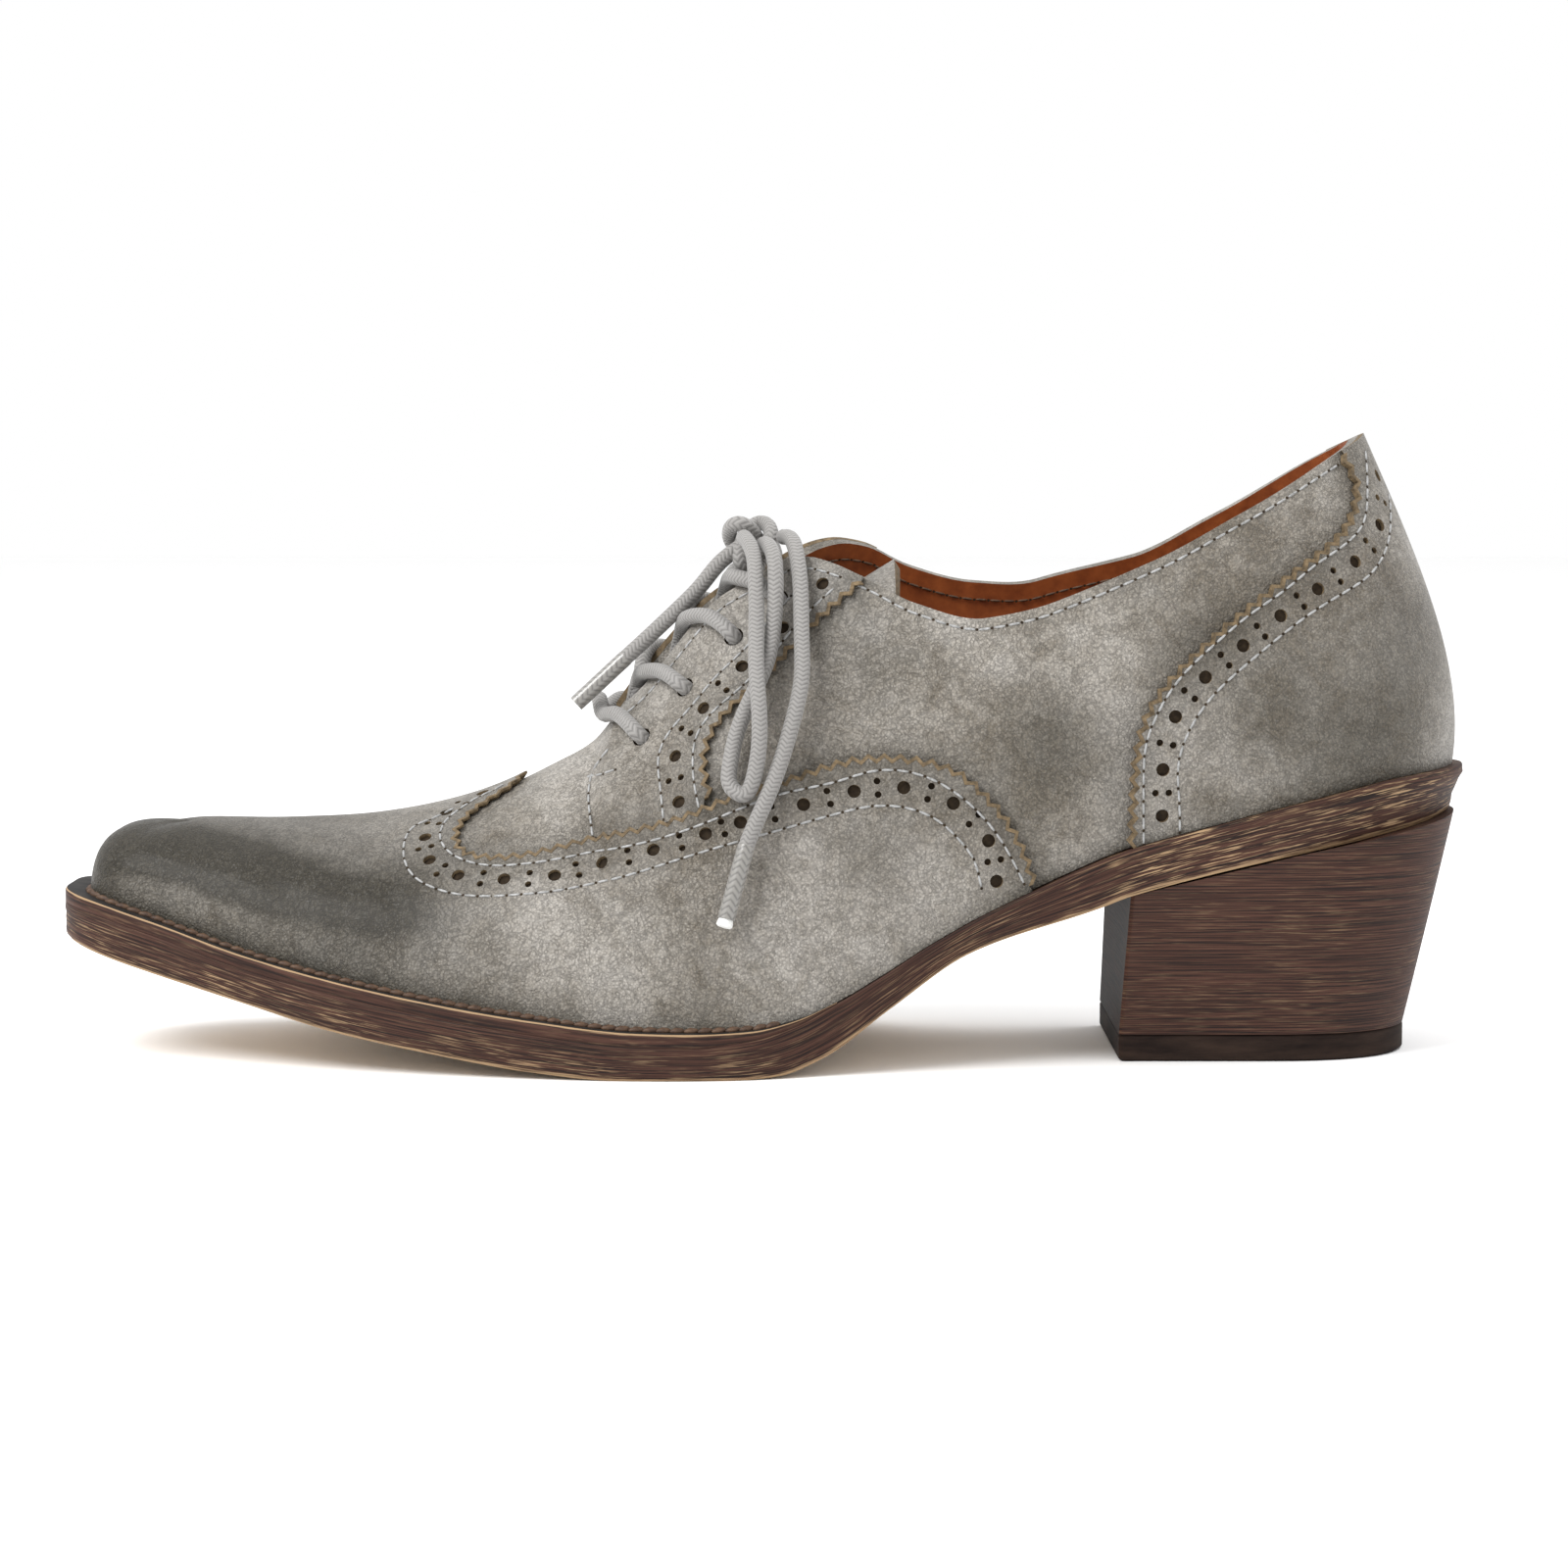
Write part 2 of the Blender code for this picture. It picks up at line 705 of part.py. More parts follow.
def plate(name, rings, parts, material):
    """A closed plate between rings of points; the first and last ring are capped.

    Each ring runs from toe to heel down the outer side, then the same down the inner
    side, so that a cap is a row of strips across the shoe.
    """
    count = len(rings[0]) // 2
    points = [point for ring in rings for point in ring]
    faces = []
    size = 2 * count

    def outer(ring, i):
        return ring * size + i

    def inner(ring, i):
        return ring * size + count + i

    for cap in (0, len(rings) - 1):
        for i in range(count - 1):
            faces.append((outer(cap, i), outer(cap, i + 1), inner(cap, i + 1), inner(cap, i)))
    for ring in range(len(rings) - 1):
        for i in range(count - 1):
            for at in (outer, inner):
                faces.append((at(ring, i), at(ring, i + 1), at(ring + 1, i + 1), at(ring + 1, i)))
    shape = bmesh.new()
    made = [shape.verts.new(tuple(float(c) for c in p)) for p in points]
    for face in faces:
        shape.faces.new([made[i] for i in face])
    bmesh.ops.remove_doubles(shape, verts=shape.verts, dist=0.000005)
    bmesh.ops.dissolve_degenerate(shape, edges=shape.edges, dist=0.000005)
    bmesh.ops.recalc_face_normals(shape, faces=shape.faces)
    mesh = bpy.data.meshes.new(name)
    shape.to_mesh(mesh)
    shape.free()
    return new_object(name, mesh, parts, material)


def plan_ring(places, distance, height):
    """A ring at a distance out from the feather line, at a height read from x."""
    ring = []
    for side in ("outer", "inner"):
        x, y = offset_line(places, side, distance)
        y = np.where((places <= 0.0) | (places >= 1.0), 0.0, y)
        ring += list(np.stack([x, y, height(x)], -1))
    return ring


def sole_places():
    toe = np.linspace(0.0, 0.085, 9)
    body = np.linspace(0.085, 0.900, 40)[1:]
    back = np.linspace(0.900, 1.0, 9)[1:]
    return np.concatenate([toe, body, back])


def sole_top(x):
    """Height of the sole's top: it gives way to the welt in the forefoot."""
    place = np.interp(share_at(x), column(feather_rows, 1), column(feather_rows, 0))
    welted = np.interp(place, welt_fade, (1.0, 0.0))
    return feather_height(x) - clearance - welted * (welt_thickness + clearance)


def build_outsole(parts, material):
    places = sole_places()
    reach = sole_extension(places)
    rings = [
        plan_ring(places, reach - edge_rounding, sole_top),
        plan_ring(places, reach - edge_rounding / 2, lambda x: sole_top(x) - edge_rounding / 2),
        plan_ring(places, reach, lambda x: tread_height(x) + 1.5 * edge_rounding),
        plan_ring(places, reach - edge_rounding / 2, tread_height),
    ]
    return plate("outsole", rings, parts, material)


def build_welt(parts, material):
    """A strip round the forefoot between the outsole and the upper."""
    places = sole_places()
    places = np.append(places[places < welt_end - 0.004], welt_end)
    reach_share = steady(column(welt_rows, 0), column(welt_rows, 1), places)
    across = (sole_extension(places) * reach_share - edge_rounding,
              np.zeros(len(places)), np.full(len(places), -welt_inner_reach))

    def section(index, side):
        """Three points under the strip, then the same three on top, in reverse."""
        place = places[index:index + 1]
        low, high = [], []
        for distances in across:
            x, y = offset_line(place, side, distances[index])
            y = y if place[0] > 0.0 else 0.0 * y
            low.append((x[0], y[0], sole_top(x)[0] + clearance))
            high.append((x[0], y[0], feather_height(x)[0] - clearance))
        return low + high[::-1]

    sections = [section(i, "inner") for i in reversed(range(len(places)))]
    sections += [section(i, "outer") for i in range(1, len(places))]
    size = len(sections[0])
    points = [point for ring in sections for point in ring]
    faces = [tuple(range(size)), tuple(range(len(points) - 1, len(points) - size - 1, -1))]
    for i in range(len(sections) - 1):
        for j in range(size):
            a, b = i * size + j, i * size + (j + 1) % size
            faces.append((a, b, b + size, a + size))
    return new_object("welt", mesh_from("welt", points, faces), parts, material)


def build_insole(parts, material):
    places = sole_places()
    inset = -(wall_thickness + 2 * clearance) * np.ones(len(places))
    rings = [
        plan_ring(places, inset - edge_rounding, lambda x: feather_height(x) + insole_thickness),
        plan_ring(places, inset, lambda x: feather_height(x) + insole_thickness - edge_rounding),
        plan_ring(places, inset, feather_height),
    ]
    return plate("insole", rings, parts, material)


def heel_outline(level, angle):
    """A point of the heel's outline, level 0 at the lift and 1 under the seat."""
    breast_x = at_share(breast_share) + breast_lean * level
    top_back = at_share(1.0) + seat_extension - heel_inset
    low_back = at_share(breast_share) + lift_length
    back_x = low_back + (top_back - low_back) * level
    seat_half = seat_half_share * ball_width + seat_extension - heel_inset
    half = lift_width / 2 + (seat_half - lift_width / 2) * level
    straight = breast_x + heel_straight_share * (back_x - breast_x)
    x = straight + (back_x - straight) * math.cos(angle) ** heel_roundness[0]
    y = half * math.sin(angle) ** heel_roundness[1]
    return breast_x, x, y


def heel_solid(name, levels, low, high, parts, material):
    """A block with a flat breast and a round back, between two heights read from x."""
    angles = [math.radians(a) for a in np.linspace(0.0, 90.0, 11)]
    rings = []
    for level, share in levels:
        outer, inner = [], []
        corner_x = heel_outline(level, 0.0)[0]
        for angle in reversed(angles):
            breast, x, y = heel_outline(level, angle)
            outer.append((x, -y))
            inner.append((x, y))
        half = outer[0][1]
        outer.insert(0, (corner_x, half))
        inner.insert(0, (corner_x, -half))
        ring = []
        for x, y in outer + inner:
            bottom, top = low(x), high(x)
            ring.append((x, y, bottom + share * (top - bottom)))
        rings.append(ring)
    count = len(rings[0]) // 2
    points = [p for ring in rings for p in ring]
    faces = []
    size = 2 * count
    for cap in (0, len(rings) - 1):
        for i in range(count - 1):
            a = cap * size + i
            faces.append((a, a + 1, a + count + 1, a + count))
    for ring in range(len(rings) - 1):
        for i in range(count - 1):
            for start in (0, count):
                a = ring * size + start + i
                faces.append((a, a + 1, a + 1 + size, a + size))
        a = ring * size
        faces.append((a, a + count, a + count + size, a + size))
    return new_object(name, mesh_from(name, points, faces), parts, material)


def build_heel(parts, material, lift_material):
    def underside(x):
        return float(tread_height(np.array(x))) - clearance

    levels = [(i / heel_rings, i / heel_rings) for i in range(heel_rings + 1)]
    heel_solid("heel", levels, lambda x: lift_thickness + clearance, underside, parts, material)
    heel_solid("top_lift", [(0.0, 0.0), (0.0, 1.0)], lambda x: 0.0,
               lambda x: lift_thickness, parts, lift_material)


def build_tongue(parts, material):
    """A sheet from under the vamp up past the facings, arched over the instep."""
    shares = np.linspace(tongue_rows[0][0], tongue_rows[-1][0], tongue_steps)
    knots = column(tongue_rows, 0)
    height, droop, half = (flowing(knots, column(tongue_rows, i), shares) for i in (1, 2, 3))
    across = np.linspace(-1.0, 1.0, tongue_across)
    x = at_share(shares)
    middle = feather_height(x) + quarter_height * height
    points = []
    for i in range(tongue_steps):
        for share in across:
            points.append((x[i], ball_width * half[i] * share,
                           middle[i] - quarter_height * droop[i] * share ** 2))
    faces = []
    for i in range(tongue_steps - 1):
        for j in range(tongue_across - 1):
            a = i * tongue_across + j
            faces.append((a, a + 1, a + tongue_across + 1, a + tongue_across))
    mesh = mesh_from("tongue", points, faces)
    face_outwards(mesh)
    item = new_object("tongue", mesh, parts, material)
    add_thickness(item, tongue_thickness, -1.0)
    return item


def cord_tube(name, route, parts, material):
    """A round lace along a smooth line through the route's own points."""
    route = np.array(route)
    path = np.concatenate([[0.0], np.cumsum(np.linalg.norm(np.diff(route, axis=0), axis=1))])
    count = max(6, int(round(path[-1] / lace_step)) + 1)
    at = np.linspace(0.0, path[-1], count)
    line = np.stack([flowing(path, route[:, k], at) for k in range(3)], -1)
    curve = bpy.data.curves.new(name, "CURVE")
    curve.dimensions = "3D"
    curve.bevel_depth = lace_diameter / 2
    curve.bevel_resolution = 2
    curve.use_fill_caps = True
    spline = curve.splines.new("POLY")
    spline.points.add(count - 1)
    for point, co in zip(spline.points, line):
        point.co = (co[0], co[1], co[2], 1.0)
    item = bpy.data.objects.new(name, curve)
    item.data.materials.append(material)
    parts.objects.link(item)
    return item


def surface_frame(place, up, side):
    """A point of the upper's outer face with its outward normal."""
    step = 0.006
    point = wall_point(place, up, side)
    along = wall_point(place + step, up, side) - wall_point(place - step, up, side)
    rise = wall_point(place, up + step, side) - wall_point(place, up - step, side)
    normal = np.cross(along, rise)
    normal /= np.linalg.norm(normal)
    if normal[2] < 0:
        normal = -normal
    return point, normal


def lace_over_facings(name, row, parts, material):
    """One crossing: from an eyelet over both facing edges to the eyelet opposite."""
    place, up, crossing_place, middle_x, middle_height = row
    stand_off = overlay_thickness + 3 * clearance + lace_diameter / 2
    halves = []
    for side in ("outer", "inner"):
        half = []
        for share in (0.0, 0.35, 0.70, 1.0):
            point, normal = surface_frame(place + (crossing_place - place) * share,
                                          up + (1.0 - up) * share, side)
            half.append(point + stand_off * normal)
        halves.append(half)
    x = at_share(middle_x)
    middle = (x, 0.0, feather_height(x) + quarter_height * middle_height)
    cord_tube(name, halves[0] + [middle] + halves[1][::-1], parts, material)


def build_laces(parts, material):
    for index, row in enumerate(eyelet_rows):
        lace_over_facings("lace_crossing_%d" % (index + 1), row, parts, material)
    cord_tube("lace_loop_outer", loop_route, parts, material)
    cord_tube("lace_loop_inner", [(x, -inner_loop_width * y, z) for x, y, z in loop_route],
              parts, material)
    cord_tube("lace_end_side", side_end_route, parts, material)
    cord_tube("lace_end_front", front_end_route, parts, material)
    bpy.ops.mesh.primitive_uv_sphere_add(segments=16, ring_count=10, radius=0.5,
                                         location=knot_centre)
    knot = bpy.context.active_object
    knot.name = "lace_knot"
    knot.data.name = "lace_knot"
    for vertex in knot.data.vertices:
        vertex.co = Vector([c * size for c, size in zip(vertex.co, knot_size)])
    knot.location = (0.0, 0.0, 0.0)
    knot.data.transform(Matrix.Translation(knot_centre))
    knot.data.materials.append(material)
    for collection in list(knot.users_collection):
        collection.objects.unlink(knot)
    parts.objects.link(knot)


def main():
    clear_scene()
    parts = make_collection("heeled_lace_up_shoe")
    cutters = make_collection("cutters")
    leather = make_material("upper_leather", leather_color, 0.5)
    overlay_leather = make_material("overlay_leather", overlay_color, 0.5)
    sole_leather = make_material("sole_leather", sole_color, 0.6)
    welt_leather = make_material("welt_leather", welt_color, 0.5)
    lift_rubber = make_material("lift_rubber", welt_color, 0.7)
    lining = make_material("lining_leather", lining_color, 0.6)
    build_outsole(parts, sole_leather)
    build_welt(parts, welt_leather)
    build_heel(parts, sole_leather, lift_rubber)
    build_insole(parts, lining)
    build_upper(parts, leather)
    build_overlays(parts, cutters, overlay_leather)
    build_tongue(parts, leather)
    build_laces(parts, make_material("waxed_cotton_lace", lace_color, 0.8))


main()
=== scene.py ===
import math

import bmesh
import bpy
import numpy as np
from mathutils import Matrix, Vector
from mathutils.bvhtree import BVHTree


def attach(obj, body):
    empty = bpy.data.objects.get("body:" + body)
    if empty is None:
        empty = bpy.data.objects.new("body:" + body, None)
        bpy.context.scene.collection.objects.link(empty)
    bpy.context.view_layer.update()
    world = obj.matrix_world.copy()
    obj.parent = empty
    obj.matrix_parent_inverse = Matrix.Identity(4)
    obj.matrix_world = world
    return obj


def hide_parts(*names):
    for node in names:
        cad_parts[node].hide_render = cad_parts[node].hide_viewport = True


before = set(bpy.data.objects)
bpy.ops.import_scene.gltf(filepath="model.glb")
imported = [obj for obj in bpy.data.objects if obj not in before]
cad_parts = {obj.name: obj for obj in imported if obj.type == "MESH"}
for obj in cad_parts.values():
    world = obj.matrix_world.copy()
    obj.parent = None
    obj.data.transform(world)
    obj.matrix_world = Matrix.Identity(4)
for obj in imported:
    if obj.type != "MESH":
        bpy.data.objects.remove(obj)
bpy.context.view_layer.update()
bpy.ops.object.select_all(action="DESELECT")
print("frame loaded:", len(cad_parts), "nodes")

# Camera: level with the top of the facings, in front of the middle of the shoe
cameraSettings = {"place": (0.0037, -0.755, 0.1215), "pitch": 5.258, "lens": 87.525,
                  "sensor": 36.0}

studio = {
    "floorSize": 6.0,
    "floorColor": (0.96, 0.96, 0.96, 1.0), "floorRoughness": 0.75, "floorSpecular": 0.2,
    "skyColor": (1.0, 1.0, 1.0, 1.0), "skyStrength": 1.0,
    "aim": (0.0, 0.0, 0.05),
    "lamps": (
        # place, size, watts
        ((-0.75, -0.60, 1.05), 0.7, 17.0),
        ((0.80, 0.30, 1.20), 0.8, 8.0),
    ),
}

# The last and the sole unit, in metres, as in the part's source
last = {
    "length": 0.2672, "ballWidth": 0.0825, "quarterHeight": 0.0653,
    "toeSpring": 0.0226, "heelHeight": 0.0474,
}
sole = {
    "edge": 0.0090, "weltThickness": 0.0024, "weltInnerReach": 0.0045,
    "toe": 0.0062, "ball": 0.0043, "waist": 0.0018, "seat": 0.0032,
    "insole": 0.0028, "seatLean": 0.0024,
}
heel = {
    "lift": 0.0052, "inset": 0.0019, "liftWidth": 0.0460, "liftLength": 0.0583,
    "breastShare": 0.7515, "breastLean": 0.0016, "seatHalfShare": 0.333,
    "straightShare": 0.50, "roundness": (0.86, 0.92), "hollow": 0.0012, "corner": 0.0007,
}
upper = {"wall": 0.0020, "overlay": 0.0011, "overlayLift": 0.00006, "tongue": 0.0022}
lace = {"diameter": 0.0031, "clearance": 0.0003}

# Feather line: place round the shoe, x share of the last, half widths as shares of the
# ball width on the outer and inner side
featherRows = (
    (0.000, 0.000, 0.000, 0.000), (0.030, 0.0015, 0.108, 0.108),
    (0.049, 0.012, 0.168, 0.166), (0.085, 0.048, 0.221, 0.216),
    (0.145, 0.111, 0.296, 0.290), (0.219, 0.189, 0.378, 0.373),
    (0.295, 0.271, 0.444, 0.447), (0.362, 0.345, 0.488, 0.491),
    (0.430, 0.419, 0.509, 0.491), (0.497, 0.4935, 0.496, 0.447),
    (0.565, 0.568, 0.447, 0.368), (0.634, 0.642, 0.390, 0.304),
    (0.701, 0.716, 0.352, 0.281), (0.768, 0.790, 0.333, 0.295),
    (0.836, 0.8645, 0.326, 0.314), (0.887, 0.920, 0.296, 0.294),
    (0.928, 0.961, 0.227, 0.227), (0.967, 0.989, 0.118, 0.118),
    (1.000, 1.000, 0.000, 0.000),
)
# Top line: place, x, half width outer and inner, height outer and inner
topRows = (
    (0.000, 0.0557, 0.000, 0.000, 0.184, 0.184), (0.049, 0.065, 0.000, 0.000, 0.198, 0.198),
    (0.085, 0.0835, 0.000, 0.000, 0.254, 0.254), (0.145, 0.1355, 0.000, 0.000, 0.334, 0.334),
    (0.219, 0.208, 0.000, 0.000, 0.428, 0.428), (0.295, 0.280, 0.000, 0.000, 0.552, 0.552),
    (0.362, 0.341, 0.000, 0.000, 0.704, 0.704), (0.395, 0.3675, 0.000, 0.000, 0.785, 0.785),
    (0.406, 0.3775, 0.036, 0.038, 0.835, 0.835), (0.430, 0.4025, 0.060, 0.066, 0.930, 0.982),
    (0.497, 0.471, 0.096, 0.102, 1.232, 1.252), (0.535, 0.510, 0.120, 0.128, 1.274, 1.282),
    (0.552, 0.523, 0.145, 0.155, 1.250, 1.272), (0.575, 0.5435, 0.185, 0.196, 1.178, 1.238),
    (0.600, 0.568, 0.237, 0.245, 1.070, 1.160), (0.634, 0.603, 0.290, 0.290, 0.920, 1.010),
    (0.680, 0.653, 0.328, 0.318, 0.782, 0.862), (0.725, 0.703, 0.338, 0.330, 0.744, 0.780),
    (0.790, 0.774, 0.316, 0.320, 0.778, 0.768), (0.850, 0.831, 0.269, 0.275, 0.830, 0.818),
    (0.900, 0.8775, 0.205, 0.208, 0.884, 0.880), (0.940, 0.909, 0.131, 0.131, 0.938, 0.938),
    (0.970, 0.926, 0.065, 0.065, 0.972, 0.972), (1.000, 0.932, 0.000, 0.000, 0.986, 0.986),
)
throatPlace = 0.395
# Wall: place, facing in degrees, rise, bulge, reach, drop
wallRows = (
    (0.000, 180.0, 1.000, -0.006, 0.112, -0.016), (0.049, 137.0, 0.950, -0.001, 0.136, 0.010),
    (0.085, 118.0, 0.790, 0.012, 0.142, 0.028), (0.145, 105.0, 0.677, 0.020, 0.154, 0.035),
    (0.219, 99.0, 0.554, 0.025, 0.179, 0.027), (0.295, 94.0, 0.497, 0.031, 0.210, 0.026),
    (0.362, 91.0, 0.480, 0.036, 0.210, 0.036), (0.430, 90.0, 0.436, 0.031, 0.165, 0.080),
    (0.497, 90.0, 0.393, 0.005, 0.173, 0.110), (0.552, 90.0, 0.378, -0.012, 0.136, 0.165),
    (0.600, 90.0, 0.398, 0.000, 0.090, 0.242), (0.680, 90.0, 0.390, 0.025, 0.050, 0.312),
    (0.790, 88.0, 0.390, 0.037, 0.060, 0.331), (0.850, 76.0, 0.375, 0.034, 0.070, 0.335),
    (0.900, 56.0, 0.358, 0.032, 0.085, 0.338), (0.940, 37.0, 0.335, 0.034, 0.100, 0.338),
    (1.000, 0.0, 0.306, 0.037, 0.117, 0.337),
)
ridgeFade = (0.10, 0.22)
# Side lines of the sole: x share, share of the toe spring, share of the heel height
treadRows = (
    (-0.030, 1.060, 0.000), (0.054, 0.757, 0.000), (0.120, 0.549, 0.000),
    (0.187, 0.341, 0.000), (0.265, 0.173, 0.000), (0.327, 0.062, 0.000),
    (0.392, 0.000, 0.000), (0.474, 0.000, 0.000), (0.505, 0.000, 0.012),
    (0.535, 0.000, 0.072), (0.585, 0.000, 0.268), (0.640, 0.000, 0.474),
    (0.735, 0.000, 0.650), (0.756, 0.000, 0.695), (1.020, 0.000, 1.025),
)
seatLineRows = (
    (-0.030, 1.065, 0.000), (0.000, 0.995, 0.000), (0.048, 0.832, 0.000),
    (0.122, 0.562, 0.000), (0.230, 0.279, 0.000), (0.334, 0.093, 0.000),
    (0.405, 0.009, 0.000), (0.449, 0.000, 0.000), (0.486, 0.000, 0.008),
    (0.516, 0.000, 0.042), (0.5455, 0.000, 0.110), (0.577, 0.000, 0.209),
    (0.612, 0.000, 0.329), (0.647, 0.000, 0.435), (0.687, 0.000, 0.540),
    (0.756, 0.000, 0.7025), (0.822, 0.000, 0.806), (0.8905, 0.000, 0.905),
    (0.957, 0.000, 0.985), (1.020, 0.000, 1.015),
)
# How far the sole stands out: place, then shares of the toe, ball, waist and seat sizes
extensionRows = (
    (0.000, 1.0, 0.0, 0.0, 0.0), (0.060, 0.8, 0.2, 0.0, 0.0), (0.180, 0.2, 0.8, 0.0, 0.0),
    (0.430, 0.0, 1.0, 0.0, 0.0), (0.480, 0.0, 0.85, 0.15, 0.0), (0.540, 0.0, 0.1, 0.9, 0.0),
    (0.700, 0.0, 0.0, 1.0, 0.0), (0.850, 0.0, 0.0, 0.2, 0.8), (1.000, 0.0, 0.0, 0.0, 1.0),
)
weltRows = ((0.000, 1.00), (0.440, 1.00), (0.480, 0.97), (0.545, 0.95))
weltEnd = 0.545
weltFade = (0.460, 0.545)
# Tongue: x share, height of the middle, droop of the edges, half width
tongueRows = (
    (0.330, 0.600, 0.100, 0.190), (0.365, 0.690, 0.125, 0.215),
    (0.4175, 0.850, 0.140, 0.235), (0.492, 1.060, 0.140, 0.235),
    (0.5485, 1.150, 0.130, 0.215), (0.5895, 1.160, 0.115, 0.190),
)
# Edges of the overlays in side view: x share, height share
wingEdgeRows = (
    (0.3170, 0.800), (0.3145, 0.660), (0.3040, 0.615), (0.2880, 0.566), (0.2735, 0.512),
    (0.2680, 0.462), (0.2725, 0.430), (0.284, 0.420), (0.305, 0.430),
    (0.366, 0.513), (0.440, 0.608), (0.467, 0.652),
    (0.510, 0.683), (0.541, 0.678), (0.572, 0.632), (0.603, 0.549), (0.628, 0.462),
    (0.650, 0.345), (0.672, 0.185), (0.690, -0.060),
)
counterEdgeRows = (
    (0.905, 1.100), (0.916, 0.965), (0.924, 0.895), (0.923, 0.825), (0.914, 0.765),
    (0.890, 0.707), (0.858, 0.648), (0.819, 0.566), (0.786, 0.473), (0.768, 0.392),
    (0.760, 0.290), (0.757, 0.140), (0.757, -0.080),
)
eyestayRearRows = (
    (0.590, 1.240), (0.565, 1.180), (0.542, 1.148), (0.513, 1.077), (0.482, 0.971),
    (0.455, 0.855), (0.449, 0.760), (0.454, 0.660),
)
eyestayFrontRows = (
    (0.369, 0.532), (0.365, 0.585), (0.364, 0.646), (0.367, 0.704), (0.379, 0.785),
    (0.383, 0.850),
)
# Eyelets: place, up, crossing place on the facing's edge, x share and height share of
# the lace's lowest point in the gap
eyeletRows = (
    (0.432, 0.743, 0.409, 0.3713, 0.905), (0.463, 0.768, 0.441, 0.400, 0.945),
    (0.497, 0.805, 0.472, 0.432, 1.090), (0.529, 0.858, 0.505, 0.466, 1.235),
)
knotCentre = (-0.0030, 0.0000, 0.1010)
loopRoute = (
    (-0.0042, -0.0066, 0.1012), (-0.0032, -0.0108, 0.1002), (-0.0022, -0.0155, 0.0978),
    (-0.0018, -0.0196, 0.0942), (-0.0016, -0.0228, 0.0890), (-0.0016, -0.0266, 0.0822),
    (-0.0015, -0.0310, 0.0755), (-0.0010, -0.0342, 0.0690), (-0.0010, -0.0358, 0.0630),
    (-0.0018, -0.0366, 0.0576), (-0.0040, -0.0368, 0.0534), (-0.0062, -0.0358, 0.0546),
    (-0.0066, -0.0342, 0.0585), (-0.0056, -0.0320, 0.0635), (-0.0036, -0.0296, 0.0690),
    (-0.0012, -0.0275, 0.0740), (0.0006, -0.0257, 0.0784), (0.0015, -0.0240, 0.0830),
    (0.0020, -0.0226, 0.0886), (0.0021, -0.0212, 0.0932), (0.0018, -0.0178, 0.0974),
    (0.0006, -0.0118, 0.0998), (-0.0003, -0.0066, 0.0998),
)
innerLoopWidth = 0.97
sideEndRoute = (
    (0.0036, -0.0046, 0.1012), (0.0052, -0.0108, 0.1008), (0.0062, -0.0162, 0.0978),
    (0.0068, -0.0202, 0.0930), (0.0070, -0.0234, 0.0875), (0.0071, -0.0264, 0.0818),
    (0.0070, -0.0300, 0.0745), (0.0055, -0.0328, 0.0675), (0.0034, -0.0352, 0.0605),
    (0.0014, -0.0370, 0.0550), (-0.0009, -0.0387, 0.0498), (-0.0030, -0.0402, 0.0450),
    (-0.0048, -0.0418, 0.0392), (-0.0072, -0.0438, 0.0305),
)
frontEndRoute = (
    (-0.0052, -0.0012, 0.0990),
    (-0.0090, -0.0020, 0.0960), (-0.0125, -0.0026, 0.0918), (-0.0170, -0.0034, 0.0872),
    (-0.0220, -0.0044, 0.0825), (-0.0278, -0.0056, 0.0772), (-0.0330, -0.0064, 0.0724),
    (-0.0372, -0.0070, 0.0685),
)


def column(rows, index):
    return np.array([row[index] for row in rows])


def hermite(knots, values, slopes, at):
    at = np.clip(at, knots[0], knots[-1])
    piece = np.clip(np.searchsorted(knots, at, side="right") - 1, 0, len(knots) - 2)
    span = knots[piece + 1] - knots[piece]
    t = (at - knots[piece]) / span
    return ((2 * t ** 3 - 3 * t ** 2 + 1) * values[piece]
            + (t ** 3 - 2 * t ** 2 + t) * span * slopes[piece]
            + (3 * t ** 2 - 2 * t ** 3) * values[piece + 1]
            + (t ** 3 - t ** 2) * span * slopes[piece + 1])


# A curve that never swings past its rows
def steady(knots, values, at):
    steps = np.diff(knots)
    rates = np.diff(values) / steps
    slopes = np.zeros(len(knots))
    for i in range(1, len(knots) - 1):
        before, after = rates[i - 1], rates[i]
        if before * after > 0:
            wide, narrow = 2 * steps[i] + steps[i - 1], steps[i] + 2 * steps[i - 1]
            slopes[i] = (wide + narrow) / (wide / before + narrow / after)
    slopes[0], slopes[-1] = rates[0], rates[-1]
    return hermite(knots, values, slopes, at)


# A curve of even bending; its ends are straight, or level where asked
def flowing(knots, values, at, levelEnds=False):
    count = len(knots)
    steps = np.diff(knots)
    rates = np.diff(values) / steps
    system = np.zeros((count, count))
    target = np.zeros(count)
    for i in range(1, count - 1):
        system[i, i - 1:i + 2] = steps[i], 2 * (steps[i - 1] + steps[i]), steps[i - 1]
        target[i] = 3 * (steps[i] * rates[i - 1] + steps[i - 1] * rates[i])
    if levelEnds:
        system[0, 0] = system[-1, -1] = 1.0
    else:
        system[0, :2] = 2.0, 1.0
        system[-1, -2:] = 1.0, 2.0
        target[0], target[-1] = 3 * rates[0], 3 * rates[-1]
    return hermite(knots, values, np.linalg.solve(system, target), at)


toeX = sole["toe"] - (last["length"] + sole["toe"] + sole["seat"]) / 2


def atShare(share):
    return toeX + share * last["length"]


def shareAt(x):
    return (x - toeX) / last["length"]


def lineHeight(rows, x):
    share = shareAt(x)
    knots = column(rows, 0)
    return (last["toeSpring"] * steady(knots, column(rows, 1), share)
            + last["heelHeight"] * steady(knots, column(rows, 2), share))


def treadHeight(x):
    return lineHeight(treadRows, x)


def featherHeight(x):
    return sole["edge"] + lineHeight(seatLineRows, x)


